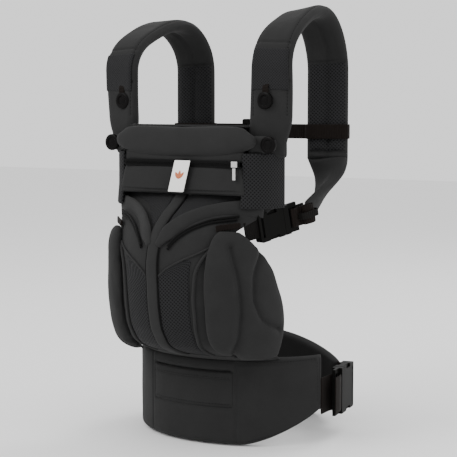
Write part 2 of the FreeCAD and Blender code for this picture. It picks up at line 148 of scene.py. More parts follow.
def start_material(name, roughness, **extra):
    material = bpy.data.materials.new(name)
    material.use_nodes = True
    tree = material.node_tree
    shader = tree.nodes["Principled BSDF"]
    shader.inputs["Roughness"].default_value = roughness
    for key, value in extra.items():
        shader.inputs[key.replace("_", " ")].default_value = value
    return material, tree, shader


def two_tone(tree, factor, dark, light):
    """Colour that goes from dark to light with a factor from 0 to 1."""
    ramp = add_node(tree, "ShaderNodeValToRGB", links={"Fac": factor})
    ramp.color_ramp.elements[0].color = (*dark, 1)
    ramp.color_ramp.elements[1].color = (*light, 1)
    return ramp


def shade(colour, share):
    return tuple(c * share for c in colour)


def woven_cloth(name, colour, thread_mm, depth=0.25):
    """Plain-woven cotton: matt, a little mottled, with a fine over-and-under bump and a soft nap."""
    material, tree, shader = start_material(name, 0.92, Sheen_Weight=0.03, Sheen_Roughness=0.5,
                                            Specular_IOR_Level=0.15)
    place = add_node(tree, "ShaderNodeTexCoord")
    mottle = add_node(tree, "ShaderNodeTexNoise", {"Scale": 38.0, "Detail": 6.0, "Roughness": 0.65},
                      {"Vector": place.outputs["Object"]})
    ramp = two_tone(tree, mottle.outputs["Fac"], shade(colour, 0.80), shade(colour, 1.18))
    tree.links.new(ramp.outputs["Color"], shader.inputs["Base Color"])
    slub = add_node(tree, "ShaderNodeTexNoise", {"Scale": 1000.0 / thread_mm, "Detail": 3.0},
                    {"Vector": place.outputs["Object"]})
    crease = add_node(tree, "ShaderNodeTexNoise", {"Scale": 24.0, "Detail": 4.0, "Distortion": 0.6},
                      {"Vector": place.outputs["Object"]})
    fine = add_node(tree, "ShaderNodeBump", {"Strength": depth, "Distance": 0.0006},
                    {"Height": slub.outputs["Fac"]})
    soft = add_node(tree, "ShaderNodeBump", {"Strength": 0.30, "Distance": 0.004},
                    {"Height": crease.outputs["Fac"], "Normal": fine.outputs["Normal"]})
    tree.links.new(soft.outputs["Normal"], shader.inputs["Normal"])
    return material


def knitted_mesh(name, colour, hole_mm, hole_share=0.42, dark=0.28):
    """Warp-knitted spacer mesh: rows of round holes, with painted shade in each hole, following the piece's
    own UV.
    """
    material, tree, shader = start_material(name, 0.85, Sheen_Weight=0.02, Specular_IOR_Level=0.15)
    place = add_node(tree, "ShaderNodeTexCoord")
    turn = add_node(tree, "ShaderNodeMapping", {"Rotation": (0, 0, math.radians(45))},
                    {"Vector": place.outputs["UV"]})
    cells = add_node(tree, "ShaderNodeTexVoronoi", {"Scale": 1000.0 / hole_mm, "Randomness": 0.0},
                     {"Vector": turn.outputs["Vector"]})
    # The holes' colour goes down to the dark share: painted shade inside the holes.
    ramp = two_tone(tree, cells.outputs["Distance"], shade(colour, dark), shade(colour, 1.35))
    ramp.color_ramp.elements[0].position = hole_share * 0.55
    ramp.color_ramp.elements[1].position = hole_share
    tree.links.new(ramp.outputs["Color"], shader.inputs["Base Color"])
    bump = add_node(tree, "ShaderNodeBump", {"Strength": 0.7, "Distance": 0.0012},
                    {"Height": cells.outputs["Distance"]})
    tree.links.new(bump.outputs["Normal"], shader.inputs["Normal"])
    return material


WAVES_PER_METRE = 1000.0 * 3.14159 / 20.0      # a wave texture's scale for ribs one millimetre apart


def ribbed_webbing(name, colour, rib_mm):
    """Woven polyester strap: cross ribs from edge to edge, with a dull shine on each."""
    material, tree, shader = start_material(name, 0.7, Sheen_Weight=0.02, Specular_IOR_Level=0.05)
    place = add_node(tree, "ShaderNodeTexCoord")
    ribs = add_node(tree, "ShaderNodeTexWave", {"Scale": WAVES_PER_METRE / rib_mm, "Distortion": 0.4,
                                                "Detail": 2.0, "wave_profile": "SIN"},
                    {"Vector": place.outputs["UV"]})
    mottle = add_node(tree, "ShaderNodeTexNoise", {"Scale": 160.0, "Detail": 4.0},
                      {"Vector": place.outputs["Object"]})
    ramp = two_tone(tree, mottle.outputs["Fac"], shade(colour, 0.72), shade(colour, 1.30))
    tree.links.new(ramp.outputs["Color"], shader.inputs["Base Color"])
    bump = add_node(tree, "ShaderNodeBump", {"Strength": 0.55, "Distance": 0.0006},
                    {"Height": ribs.outputs["Fac"]})
    tree.links.new(bump.outputs["Normal"], shader.inputs["Normal"])
    return material


def moulded_plastic(name, colour, roughness):
    """Injection-moulded acetal: smooth with a faint spark-eroded grain that blurs its highlights."""
    material, tree, shader = start_material(name, roughness, IOR=1.48, Specular_IOR_Level=0.05)
    place = add_node(tree, "ShaderNodeTexCoord")
    grain = add_node(tree, "ShaderNodeTexNoise", {"Scale": 1400.0, "Detail": 2.0},
                     {"Vector": place.outputs["Object"]})
    wear = add_node(tree, "ShaderNodeTexNoise", {"Scale": 60.0, "Detail": 5.0},
                    {"Vector": place.outputs["Object"]})
    ramp = two_tone(tree, wear.outputs["Fac"], shade(colour, 0.88), shade(colour, 1.12))
    tree.links.new(ramp.outputs["Color"], shader.inputs["Base Color"])
    bump = add_node(tree, "ShaderNodeBump", {"Strength": 0.12, "Distance": 0.0003},
                    {"Height": grain.outputs["Fac"]})
    tree.links.new(bump.outputs["Normal"], shader.inputs["Normal"])
    return material


def polished_nickel():
    """Nickel-plated zinc of the zip: bright, with faint tumbling marks."""
    material, tree, shader = start_material("nickel_plated_zinc", 0.22, Metallic=1.0)
    place = add_node(tree, "ShaderNodeTexCoord")
    marks = add_node(tree, "ShaderNodeTexNoise", {"Scale": 900.0, "Detail": 3.0},
                     {"Vector": place.outputs["Object"]})
    ramp = two_tone(tree, marks.outputs["Fac"], linear("#b9b9b8"), linear("#e4e3e1"))
    tree.links.new(ramp.outputs["Color"], shader.inputs["Base Color"])
    return material


def satin_label(name, colour):
    """Damask-woven satin tape: close threads with a soft shine."""
    material, tree, shader = start_material(name, 0.6, Sheen_Weight=0.15)
    place = add_node(tree, "ShaderNodeTexCoord")
    threads = add_node(tree, "ShaderNodeTexNoise", {"Scale": 1800.0, "Detail": 2.0},
                       {"Vector": place.outputs["Object"]})
    ramp = two_tone(tree, threads.outputs["Fac"], shade(colour, 0.90), shade(colour, 1.0))
    tree.links.new(ramp.outputs["Color"], shader.inputs["Base Color"])
    bump = add_node(tree, "ShaderNodeBump", {"Strength": 0.3, "Distance": 0.0003},
                    {"Height": threads.outputs["Fac"]})
    tree.links.new(bump.outputs["Normal"], shader.inputs["Normal"])
    return material


MATERIALS = {}


def make_materials():
    tint = colours()
    MATERIALS.update({
        "cotton": woven_cloth("charcoal_cotton_canvas", tuple(tint.cotton), 0.9),
        "band": woven_cloth("brushed_cotton_twill", tuple(tint.cotton_band), 0.7, 0.2),
        # The last number says how dark the holes are painted: painted shade inside them.
        "mesh": knitted_mesh("open_air_mesh", tuple(tint.air_mesh), 3.4, 0.42, 0.12),
        "fine_mesh": knitted_mesh("fine_lining_mesh", tuple(tint.air_mesh), 2.6, 0.45, 0.62),
        "webbing": ribbed_webbing("brown_black_webbing", tuple(tint.webbing), 1.7),
        "grey_webbing": ribbed_webbing("grey_buckle_webbing", tuple(tint.grey_webbing), 1.7),
        "plastic": moulded_plastic("moulded_acetal", tuple(tint.plastic), 0.5),
        "snap": moulded_plastic("moulded_snap_cap", tuple(tint.snap), 0.36),
        "nickel": polished_nickel(),
        "thread": woven_cloth("bonded_nylon_thread", tuple(tint.thread), 0.4),
        "label": satin_label("woven_satin_label", tuple(tint.label)),
        "motif": satin_label("dyed_label_thread", tuple(tint.motif)),
    })


def dress(piece, material, body=None):
    """Gives a piece its finish, and the body that it rides on if one is given."""
    piece.data.materials.clear()
    piece.data.materials.append(MATERIALS[material])
    if body:
        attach(piece, body)


# ---- soft shapes -----------------------------------------------------------------------------

def smooth_step(x):
    x = np.clip(x, 0.0, 1.0)
    return x * x * (3 - 2 * x)


def along(table, key):
    """Smooth interpolation in rows of (key, value, value ...)."""
    rows = np.array(table, float)
    keys = rows[:, 0]
    slopes = np.gradient(rows[:, 1:], keys, axis=0)
    key = float(np.clip(key, keys[0], keys[-1]))
    i = int(np.clip(np.searchsorted(keys, key) - 1, 0, len(keys) - 2))
    span = keys[i + 1] - keys[i]
    t = (key - keys[i]) / span
    a, b = rows[i, 1:], rows[i + 1, 1:]
    curve = ((2 * t ** 3 - 3 * t ** 2 + 1) * a + (t ** 3 - 2 * t ** 2 + t) * span * slopes[i]
             + (-2 * t ** 3 + 3 * t ** 2) * b + (t ** 3 - t ** 2) * span * slopes[i + 1])
    return curve


def shares(rows, columns, first=0.0):
    """For each point of a grid, its share along the rows from 0 to 1 and across from first to 1."""
    along_rows = np.linspace(0, 1, rows)[:, None] * np.ones((1, columns))
    across_rows = np.linspace(first, 1, columns)[None, :] * np.ones((rows, 1))
    return along_rows, across_rows


def rim(rows, columns, across, length=None):
    """From 0 at a pad's edges to 1 inside; across and length are the shares that its rounding takes."""
    u, v = shares(rows, columns)
    value = np.ones((rows, columns))
    for place, share in ((u, length), (v, across)):
        if share:
            near = np.clip(np.minimum(place, 1 - place) / share, 0, 1)
            value = value * np.sqrt(1 - (1 - near) ** 2)
    return value


def groove(place, at, width):
    """1 on a seam line and 0 away from it."""
    return np.exp(-((place - at) / width) ** 2)


def ripple(points, size, seed):
    """Gentle unevenness of cloth, from -1 to 1, for each point of a grid in millimetres."""
    flat = points.reshape(-1, 3) / size
    shift = Vector((seed * 17.3, seed * 5.1, seed * 9.7))
    values = [noise.noise(Vector(p) + shift) for p in flat]
    return np.array(values).reshape(points.shape[:2])


def grid_normals(points):
    du = np.gradient(points, axis=0)
    dv = np.gradient(points, axis=1)
    normal = np.cross(du, dv)
    length = np.linalg.norm(normal, axis=2, keepdims=True)
    return normal / np.maximum(length, 1e-9)


def quilt(name, points, front, back, facing, levels=1):
    """Closed cloth piece from a grid of points in millimetres. front and back say how far its two
    faces stand from the grid, and facing(points) gives a vector that its front looks along."""
    points = np.asarray(points, float)
    front = np.broadcast_to(front, points.shape[:2]).copy()
    back = np.broadcast_to(back, points.shape[:2]).copy()
    normal = grid_normals(points)
    if np.sum(normal * facing(points)) < 0:
        points, front, back = points[:, ::-1], front[:, ::-1], back[:, ::-1]
        normal = grid_normals(points)
    rows, columns = points.shape[:2]
    outer = points + normal * front[:, :, None]
    inner = points - normal * back[:, :, None]
    place = in_metres(np.concatenate([outer.reshape(-1, 3), inner.reshape(-1, 3)]))
    count = rows * columns

    def at(i, j, face=0):
        return face * count + i * columns + j

    faces = []
    for i in range(rows - 1):
        for j in range(columns - 1):
            quad = (at(i, j), at(i + 1, j), at(i + 1, j + 1), at(i, j + 1))
            faces.append(quad)
            faces.append(tuple(k + count for k in reversed(quad)))
    for i in range(rows - 1):
        faces.append((at(i + 1, 0), at(i, 0), at(i, 0, 1), at(i + 1, 0, 1)))
        faces.append((at(i, columns - 1), at(i + 1, columns - 1),
                      at(i + 1, columns - 1, 1), at(i, columns - 1, 1)))
    for j in range(columns - 1):
        faces.append((at(0, j), at(0, j + 1), at(0, j + 1, 1), at(0, j, 1)))
        faces.append((at(rows - 1, j + 1), at(rows - 1, j), at(rows - 1, j, 1), at(rows - 1, j + 1, 1)))
    mesh = bpy.data.meshes.new(name)
    mesh.from_pydata([tuple(p) for p in place], [], faces)
    step_u = np.linalg.norm(np.diff(points, axis=0), axis=2)
    step_v = np.linalg.norm(np.diff(points, axis=1), axis=2)
    far_u = np.concatenate([np.zeros((1, columns)), np.cumsum(step_u, axis=0)]) * MM
    far_v = np.concatenate([np.zeros((rows, 1)), np.cumsum(step_v, axis=1)], axis=1) * MM
    spot = np.stack([far_u.reshape(-1), far_v.reshape(-1)], axis=1)
    spot = np.concatenate([spot, spot])
    layer = mesh.uv_layers.new(name="cloth")
    index = np.empty(len(mesh.loops), int)
    mesh.loops.foreach_get("vertex_index", index)
    layer.data.foreach_set("uv", spot[index].reshape(-1))
    mesh.polygons.foreach_set("use_smooth", [True] * len(mesh.polygons))
    piece = bpy.data.objects.new(name, mesh)
    bpy.context.scene.collection.objects.link(piece)
    if levels:
        finish_with(piece, "SUBSURF", levels=levels, render_levels=levels)
    return piece


def finish_with(piece, kind, **settings):
    """Adds a modifier to a piece and applies it."""
    modifier = piece.modifiers.new(kind.title(), kind)
    for key, value in settings.items():
        setattr(modifier, key, value)
    select_only(piece)
    bpy.ops.object.modifier_apply(modifier=modifier.name)


def in_metres(points):
    """Points in millimetres from the middle of the loop, as places in the frame."""
    return (np.asarray(points, float) + np.array([0.0, LOOP_MIDDLE_Y, 0.0])) * MM


def select_only(*pieces):
    bpy.ops.object.select_all(action="DESELECT")
    for piece in pieces:
        piece.select_set(True)
    bpy.context.view_layer.objects.active = pieces[0]


def join(name, pieces):
    select_only(*pieces)
    bpy.ops.object.join()
    joined = bpy.context.view_layer.objects.active
    joined.name = name
    joined.data.name = name
    return joined


def from_middle(points):
    """Outwards from the middle of the loop, at the same height."""
    return points * np.array([1.0, 1.0, 0.0])


def stitches(name, lines, normals_from, cloth):
    """Rows of single stitches on a cloth, along lines of points in millimetres."""
    step, thick = sizes().stitch / MM * 1.4, sizes().thread / MM
    verts, faces = [], []
    for line in lines:
        line = snapped(cloth, resample(line, 3.0))
        gaps = np.linalg.norm(np.diff(line, axis=0), axis=1)
        far = np.concatenate([[0.0], np.cumsum(gaps)])
        for start in np.arange(0.0, far[-1] - step * 0.7, step):
            ends = [np.array([np.interp(d, far, line[:, k]) for k in range(3)])
                    for d in (start, start + step * 0.7)]
            middle = (ends[0] + ends[1]) / 2
            axis = ends[1] - ends[0]
            axis /= max(np.linalg.norm(axis), 1e-9)
            up = normals_from(middle)
            up = up / max(np.linalg.norm(up), 1e-9)
            side = np.cross(axis, up)
            base = len(verts)
            ring = (side * 0.5, up * 0.35, -side * 0.5, -up * 0.5)
            verts.append(ends[0] - up * thick * 0.2)
            verts.extend(middle + up * thick * 0.55 + r * thick for r in ring)
            verts.append(ends[1] - up * thick * 0.2)
            for k in range(4):
                faces.append((base, base + 1 + (k + 1) % 4, base + 1 + k))
                faces.append((base + 5, base + 1 + k, base + 1 + (k + 1) % 4))
    mesh = bpy.data.meshes.new(name)
    mesh.from_pydata([tuple(p) for p in in_metres(verts)], [], faces)
    piece = bpy.data.objects.new(name, mesh)
    bpy.context.scene.collection.objects.link(piece)
    select_only(piece)
    bpy.ops.object.mode_set(mode="EDIT")
    bpy.ops.mesh.select_all(action="SELECT")
    bpy.ops.mesh.normals_make_consistent(inside=False)
    bpy.ops.object.mode_set(mode="OBJECT")
    return piece


def piping(name, line, radius):
    """Corded edge: a smooth round tube along points in millimetres, closed at its ends."""
    line = in_metres(line)
    curve = bpy.data.curves.new(name, "CURVE")
    curve.dimensions = "3D"
    curve.bevel_depth = radius * MM
    curve.bevel_resolution = 3
    curve.use_fill_caps = True
    spline = curve.splines.new("NURBS")
    spline.points.add(len(line) - 1)
    for point, place in zip(spline.points, line):
        point.co = (*place, 1.0)
    spline.use_endpoint_u = True
    spline.order_u = 3
    piece = bpy.data.objects.new(name, curve)
    bpy.context.scene.collection.objects.link(piece)
    select_only(piece)
    bpy.ops.object.convert(target="MESH")
    for polygon in piece.data.polygons:
        polygon.use_smooth = True
    return piece


def resample(line, step=1.0):
    line = np.asarray(line, float)
    far = np.concatenate([[0.0], np.cumsum(np.linalg.norm(np.diff(line, axis=0), axis=1))])
    places = np.linspace(0.0, far[-1], max(int(far[-1] / step), 2) + 1)
    return np.stack([np.interp(places, far, line[:, k]) for k in range(3)], axis=1)


def snapped(piece, line):
    """The nearest points of a piece's surface to a line, in millimetres."""
    found = []
    for place in in_metres(line):
        near = piece.closest_point_on_mesh(Vector(place))[1]
        found.append((near.x / MM, near.y / MM - LOOP_MIDDLE_Y, near.z / MM))
    return np.array(found)


def sew(piece, lines, depth, width):
    """Presses seams into a piece along lines of points in millimetres."""
    places = np.concatenate([snapped(piece, resample(line)) for line in lines])
    tree = KDTree(len(places))
    for i, place in enumerate(in_metres(places)):
        tree.insert(Vector(place), i)
    tree.balance()
    vertices = piece.data.vertices
    normals = [vertex.normal.copy() for vertex in vertices]
    for vertex, normal in zip(vertices, normals):
        gap = tree.find(vertex.co)[2] / MM
        if gap < 3 * width:
            vertex.co -= normal * depth * MM * math.exp(-(gap / width) ** 2)
    piece.data.update()


def puff(piece, pressure, cap, voxel):
    """Fills a pad: its cloth is blown up by the filling, as far as cap in millimetres, and smoothed."""
    finish_with(piece, "REMESH", mode="VOXEL", voxel_size=voxel * MM, use_smooth_shade=True)
    mesh = piece.data
    start = np.empty(len(mesh.vertices) * 3)
    mesh.vertices.foreach_get("co", start)
    cloth = piece.modifiers.new("Cloth", "CLOTH")
    cloth.settings.use_pressure = True
    cloth.settings.uniform_pressure_force = pressure
    cloth.settings.effector_weights.gravity = 0.0
    for frame_number in range(1, FILLING_FRAMES + 1):
        bpy.context.scene.frame_set(frame_number)
    filled = piece.evaluated_get(bpy.context.evaluated_depsgraph_get()).data
    place = np.empty(len(mesh.vertices) * 3)
    filled.vertices.foreach_get("co", place)
    move = (place - start).reshape(-1, 3)
    far = np.linalg.norm(move, axis=1, keepdims=True)
    move *= np.minimum(1.0, cap * MM / np.maximum(far, 1e-9))
    piece.modifiers.remove(cloth)
    bpy.context.scene.frame_set(1)
    mesh.vertices.foreach_set("co", (start + move.reshape(-1)).astype(np.float32))
    mesh.update()
    finish_with(piece, "SMOOTH", factor=0.5, iterations=2)
    finish_with(piece, "SUBSURF", levels=1, render_levels=1)


# ---- the carrier's soft shell ----------------------------------------------------------------

SHELL = (                                # height, half width, depth, middle, roundness
    (121.0, 112.0, 50.0, -88.0, 2.0),
    (136.0, 113.0, 92.0, -88.0, 2.0),
    (156.0, 115.0, 112.0, -88.0, 2.0),
    (186.0, 116.0, 123.0, -87.0, 2.0),
    (216.0, 116.0, 126.0, -87.0, 2.0),
    (262.0, 116.0, 125.0, -87.0, 2.0),
    (290.0, 117.0, 112.0, -88.0, 2.1),
    (306.0, 119.0, 93.0, -90.0, 2.2),
    (320.0, 121.0, 72.0, -91.0, 2.3),
    (333.0, 123.0, 53.0, -93.0, 2.5),
    (380.0, 124.0, 40.0, -94.0, 2.6),
    (424.0, 124.0, 36.0, -95.0, 2.6),
)


def shell_point(angle, height, out=0.0):
    """Point of the shell at an angle from straight ahead, in degrees, moved outwards."""
    half, depth, middle, power = along(SHELL, height)
    side, front = math.sin(math.radians(angle)), math.cos(math.radians(angle))
    return np.array([(half + out) * math.copysign(abs(side) ** (2 / power), side),
                     middle - (depth + out) * math.copysign(abs(front) ** (2 / power), front), height])


def shell_grid(leaf, rows, columns, out=0.0):
    """Grid on the shell. leaf: (height, first angle, last angle), from the lowest up."""
    grid = np.zeros((rows, columns, 3))
    for i, height in enumerate(np.linspace(leaf[0][0], leaf[-1][0], rows)):
        first, last = along(leaf, height)
        for j, angle in enumerate(np.linspace(first, last, columns)):
            grid[i, j] = shell_point(angle, height, out)
    return grid


def shell_line(marks, out=0.0, mirrored=1):
    """Line on the shell through (height, angle) marks, from the lowest up."""
    heights = np.linspace(marks[0][0], marks[-1][0], 40)
    return np.array([shell_point(mirrored * along(marks, h)[0], h, out) for h in heights])


def turned(leaf, side):
    """The same leaf on the right side, or mirrored on the left side."""
    return [(z, a, b) if side > 0 else (z, -b, -a) for z, a, b in leaf]


def shell_band(path, width, rows, columns, side=1):
    """Grid of a band that follows (angle, height) marks on the shell."""
    keys = np.linspace(0, 1, len(path))
    table = [(k, a, h) for k, (a, h) in zip(keys, path)]
    middle = [along(table, k) for k in np.linspace(0, 1, rows)]
    line = np.array([shell_point(side * a, h) for a, h in middle])
    out = np.array([shell_point(side * a, h, 1.0) for a, h in middle]) - line
    ahead = np.gradient(line, axis=0)
    across = np.cross(ahead, out)
    across /= np.linalg.norm(across, axis=1, keepdims=True)
    reach = np.linspace(-0.5, 0.5, columns)
    width = np.broadcast_to(width, rows)
    return line[:, None, :] + across[:, None, :] * (width[:, None] * reach[None, :])[:, :, None]


def outwards(points):
    """Away from the middle of the shell, at the same height."""
    return (points - np.array([0.0, -88.0, 0.0])) * np.array([1.0, 1.0, 0.0])


class CARRIER_OT_seat(bpy.types.Operator):
    """Bucket seat with its open mesh, its yoke and the panel above it"""
    bl_idname = "carrier.seat"
    bl_label = "Seat and panel"

    def execute(self, context):
        leaf = [(122.0, -40.0, 40.0), (150.0, -40.0, 40.0), (216.0, -40.0, 40.0), (262.0, -43.0, 43.0),
                (290.0, -52.0, 52.0), (312.0, -72.0, 72.0), (333.5, -88.0, 88.0)]
        points = shell_grid(leaf, 90, 120)
        edge = rim(90, 120, 0.03)
        seat = quilt("seat_panel_cloth", points, 0.4 * ripple(points, 26.0, 1), 5.5 * edge + 0.3, outwards)
        dress(seat, "cotton", "carrier")
        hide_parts("seat_panel")
        top = shell_grid([(333.0, -48.0, 48.0), (424.0, -48.0, 48.0)], 40, 90)
        edge = rim(40, 90, 0.03, 0.05)
        panel = quilt("upper_panel_cloth", top, 0.4 * ripple(top, 24.0, 2), 5.0 * edge + 0.3, outwards)
        dress(panel, "cotton", "carrier")
        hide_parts("upper_panel")
        for side, name in SIDES:
            self.air_mesh(side, name)
            self.vent(side, name)
            self.side_mesh(side, name)
            self.corner(side, name)
            self.arm(side, name)
        self.stem()
        self.base()
        return {"FINISHED"}

    def air_mesh(self, side, name):
        """Open spacer mesh between the stem and the thigh pad, in a bound opening"""
        leaf = turned([(125.0, 5.0, 22.0), (142.0, 4.4, 24.0), (169.0, 4.4, 24.4), (205.0, 4.4, 24.6),
                       (233.0, 4.5, 25.2), (243.0, 11.0, 25.6), (254.0, 21.0, 26.4)], side)
        points = shell_grid(leaf, 70, 34)
        piece = quilt("air_mesh_" + name, points, 1.1 * rim(70, 34, 0.08, 0.04) + 0.3, 0.5, outwards)
        dress(piece, "mesh", "carrier")
        for label, marks, radius in (
                ("side", [(124.0, 24.0), (150.0, 26.2), (175.0, 27.0), (212.0, 27.2), (247.0, 30.5),
                          (270.0, 38.0)], 2.3),
                ("top", [(233.0, 5.0), (243.0, 11.0), (254.0, 20.5), (263.0, 30.0), (271.0, 37.6)], 1.3)):
            cord = piping("mesh_binding_%s_%s" % (label, name), shell_line(marks, 1.2, side), radius)
            dress(cord, "band", "carrier")

    def vent(self, side, name):
        """Dark fine mesh between the yoke's arm and the panel above it"""
        leaf = turned([(296.0, 3.6, 6.0), (305.0, 3.6, 10.0), (314.0, 3.6, 15.0), (322.0, 3.6, 22.0),
                       (333.0, 3.6, 50.0)], side)
        points = shell_grid(leaf, 30, 50)
        piece = quilt("vent_mesh_" + name, points, 0.7, 0.4, outwards)
        dress(piece, "fine_mesh", "carrier")

    def corner(self, side, name):
        """Cotton corner of the panel, which the strap grows out of"""
        points = shell_grid(turned([(382.0, 40.0, 89.0), (425.0, 40.0, 89.0)], side), 24, 40, 3.0)
        piece = quilt("panel_corner_" + name, points, 2.6 * rim(24, 40, 0.04, 0.1) + 0.3,
                      4.0 * rim(24, 40, 0.1, 0.1) + 0.3, outwards)
        dress(piece, "cotton", "carrier")

    def side_mesh(self, side, name):
        """Open mesh that bends round from the pouch to the strap's root"""
        up, share = shares(40, 40)
        height = 317.0 + 71.0 * up
        bend = ((1 - share) ** 2, 2 * share * (1 - share), share ** 2)
        x = sum(part * place for part, place in zip(bend, (94.0, 120.0, 124.5)))
        y = sum(part * place for part, place in zip(bend, (-149.0, -141.0, -95.0)))
        y -= 5.0 * smooth_step((350.0 - height) / 33.0) * (1 - share)
        points = np.stack([side * x, y, height], axis=2)
        piece = quilt("side_mesh_cloth_" + name, points, 1.4 * rim(40, 40, 0.05, 0.05) + 0.2,
                      4.0 * rim(40, 40, 0.1, 0.1) + 0.3, outwards)
        dress(piece, "mesh", "carrier")
        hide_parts("side_mesh_" + name)

    def arm(self, side, name):
        """Arm of the yoke, corded twice along its lower edge"""
        path = [(2.5, 270.0), (7.0, 284.0), (11.5, 295.0), (17.0, 304.0), (25.0, 311.0), (36.0, 315.5),
                (52.0, 317.5), (66.0, 316.0)]
        width = 22.0 * (0.4 + 0.6 * smooth_step(np.linspace(0, 1, 70) / 0.2))
        points = shell_band(path, width, 70, 16, side)
        crown = rim(70, 16, 0.5, 0.02)
        piece = quilt("yoke_arm_cloth_" + name, points, 3.0 + 2.6 * crown, -0.2, outwards)
        dress(piece, "band", "carrier")
        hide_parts("yoke_arm_" + name)
        lower = [(10.0, 271.0), (14.5, 284.0), (20.0, 294.0), (26.0, 300.5), (33.0, 305.0), (48.0, 308.5)]
        for label, drop, out in (("inner", 0.0, 2.6), ("outer", 4.0, 1.6)):
            marks = [(k, a, h - drop) for k, (a, h) in enumerate(lower)]
            route = [along(marks, k) for k in np.linspace(0, len(lower) - 1, 60)]
            line = [shell_point(side * a, h, out) for a, h in route]
            cord = piping("yoke_cord_and_shadow_%s_%s" % (label, name), line, 1.7)
            # The cords take the near-black thread colour: real cords, with painted shade of the groove
            # along the arm's lower edge.
            dress(cord, "thread", "carrier")
        rows = [points[:, 2], points[:, -3]]
        sewn = stitches("yoke_stitches_" + name, rows, outwards, piece)
        dress(sewn, "thread", "carrier")

    def base(self):
        """Cloth that joins the seat's lower edge to the top of the belt"""
        rows, columns = 10, 90
        points = np.zeros((rows, columns, 3))
        for j, angle in enumerate(np.linspace(-86.0, 86.0, columns)):
            top = shell_point(angle, 124.0, -3.0)
            foot_y = -120.0 * math.sqrt(1.0 - (top[0] / 140.0) ** 2)
            for i, share in enumerate(np.linspace(0, 1, rows)):
                points[i, j] = top + share * np.array([0.0, foot_y - top[1], 113.0 - top[2]])
        piece = quilt("seat_base_cloth", points, 1.6, 1.6, outwards)
        dress(piece, "cotton", "carrier")

    def stem(self):
        """Stem of the yoke, from the belt up to the pouch, corded along both edges"""
        path = [(0.0, z) for z in (123.0, 150.0, 180.0, 216.0, 250.0, 280.0, 300.0, 318.0, 333.0)]
        points = shell_band(path, 17.0, 110, 14)
        crown = rim(110, 14, 0.45, 0.02)
        piece = quilt("yoke_stem_cloth", points, 2.0 + 2.2 * crown, -0.2, outwards)
        dress(piece, "band", "carrier")
        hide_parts("yoke_stem")
        normal = np.array([0.0, -1.0, 0.0])
        for label, column in (("left", 0), ("right", -1)):
            cord = piping("stem_cord_" + label, points[:, column] + normal * 1.6, 1.2)
            dress(cord, "thread", "carrier")
        rows = [points[:, 2], points[:, -3]]
        sewn = stitches("stem_stitches", rows, outwards, piece)
        dress(sewn, "thread", "carrier")


class CARRIER_OT_thigh_pads(bpy.types.Operator):
    """Puffed pads round the child's thighs"""
    bl_idname = "carrier.thigh_pads"
    bl_label = "Thigh pads"

    def execute(self, context):
        leaf = [(121.0, 38.0, 84.0), (140.0, 33.0, 87.0), (170.0, 32.0, 89.0), (195.0, 32.0, 87.0),
                (218.0, 32.0, 83.0), (246.0, 33.0, 77.0), (262.0, 34.0, 71.0), (275.0, 35.0, 64.0),
                (286.0, 36.5, 57.0), (292.0, 38.0, 52.0)]
        valley = [(122.0, 38.0), (143.0, 48.5), (175.0, 53.5), (211.0, 54.0), (241.0, 52.0), (270.0, 48.0)]
        rear = [(162.0, 80.0), (172.0, 70.0), (192.0, 63.5), (219.0, 62.0), (243.0, 63.5), (262.0, 67.5)]
        for side, name in SIDES:
            points = shell_grid(turned(leaf, side), 64, 60, 2.0)
            crown = rim(64, 60, 0.42, 0.22)
            swell = 9.0 * crown + 1.0 * ripple(points, 34.0, 5 + side)
            piece = quilt("thigh_pad_cloth_" + name, points, swell + 1.6, 5.0 * crown + 1.6, outwards)
            puff(piece, 4.0, 3.5, 3.5)
            sew(piece, [shell_line(valley, 13.0, side)], 5.5, 6.5)
            sew(piece, [shell_line(valley, 9.0, side)], 1.6, 1.6)
            sew(piece, [shell_line(rear, 12.0, side)], 4.0, 5.0)
            sew(piece, [shell_line(rear, 9.0, side)], 1.4, 1.4)
            dress(piece, "cotton", "carrier")
            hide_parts("thigh_pad_" + name)
            self.tab(side, name)
        return {"FINISHED"}

    def tab(self, side, name):
        """Short webbing tab from the pad's tip to the yoke's arm"""
        path = [(36.5, 293.5), (41.0, 295.0), (46.0, 296.0), (52.0, 297.0)]
        points = shell_band(path, 8.0, 24, 8, side)
        piece = quilt("pad_tab_" + name, points, 6.4, -3.6, outwards)
        dress(piece, "webbing", "carrier")


# ---- pouch, zip and label --------------------------------------------------------------------

def flat_grid(x_range, z_range, y, rows, columns):
    """Upright grid that faces forwards."""
    x, z = np.meshgrid(np.linspace(*x_range, columns), np.linspace(*z_range, rows))
    return np.stack([x, np.full_like(x, y), z], axis=2)


def forwards(points):
    return np.broadcast_to(np.array([0.0, -1.0, 0.0]), points.shape)


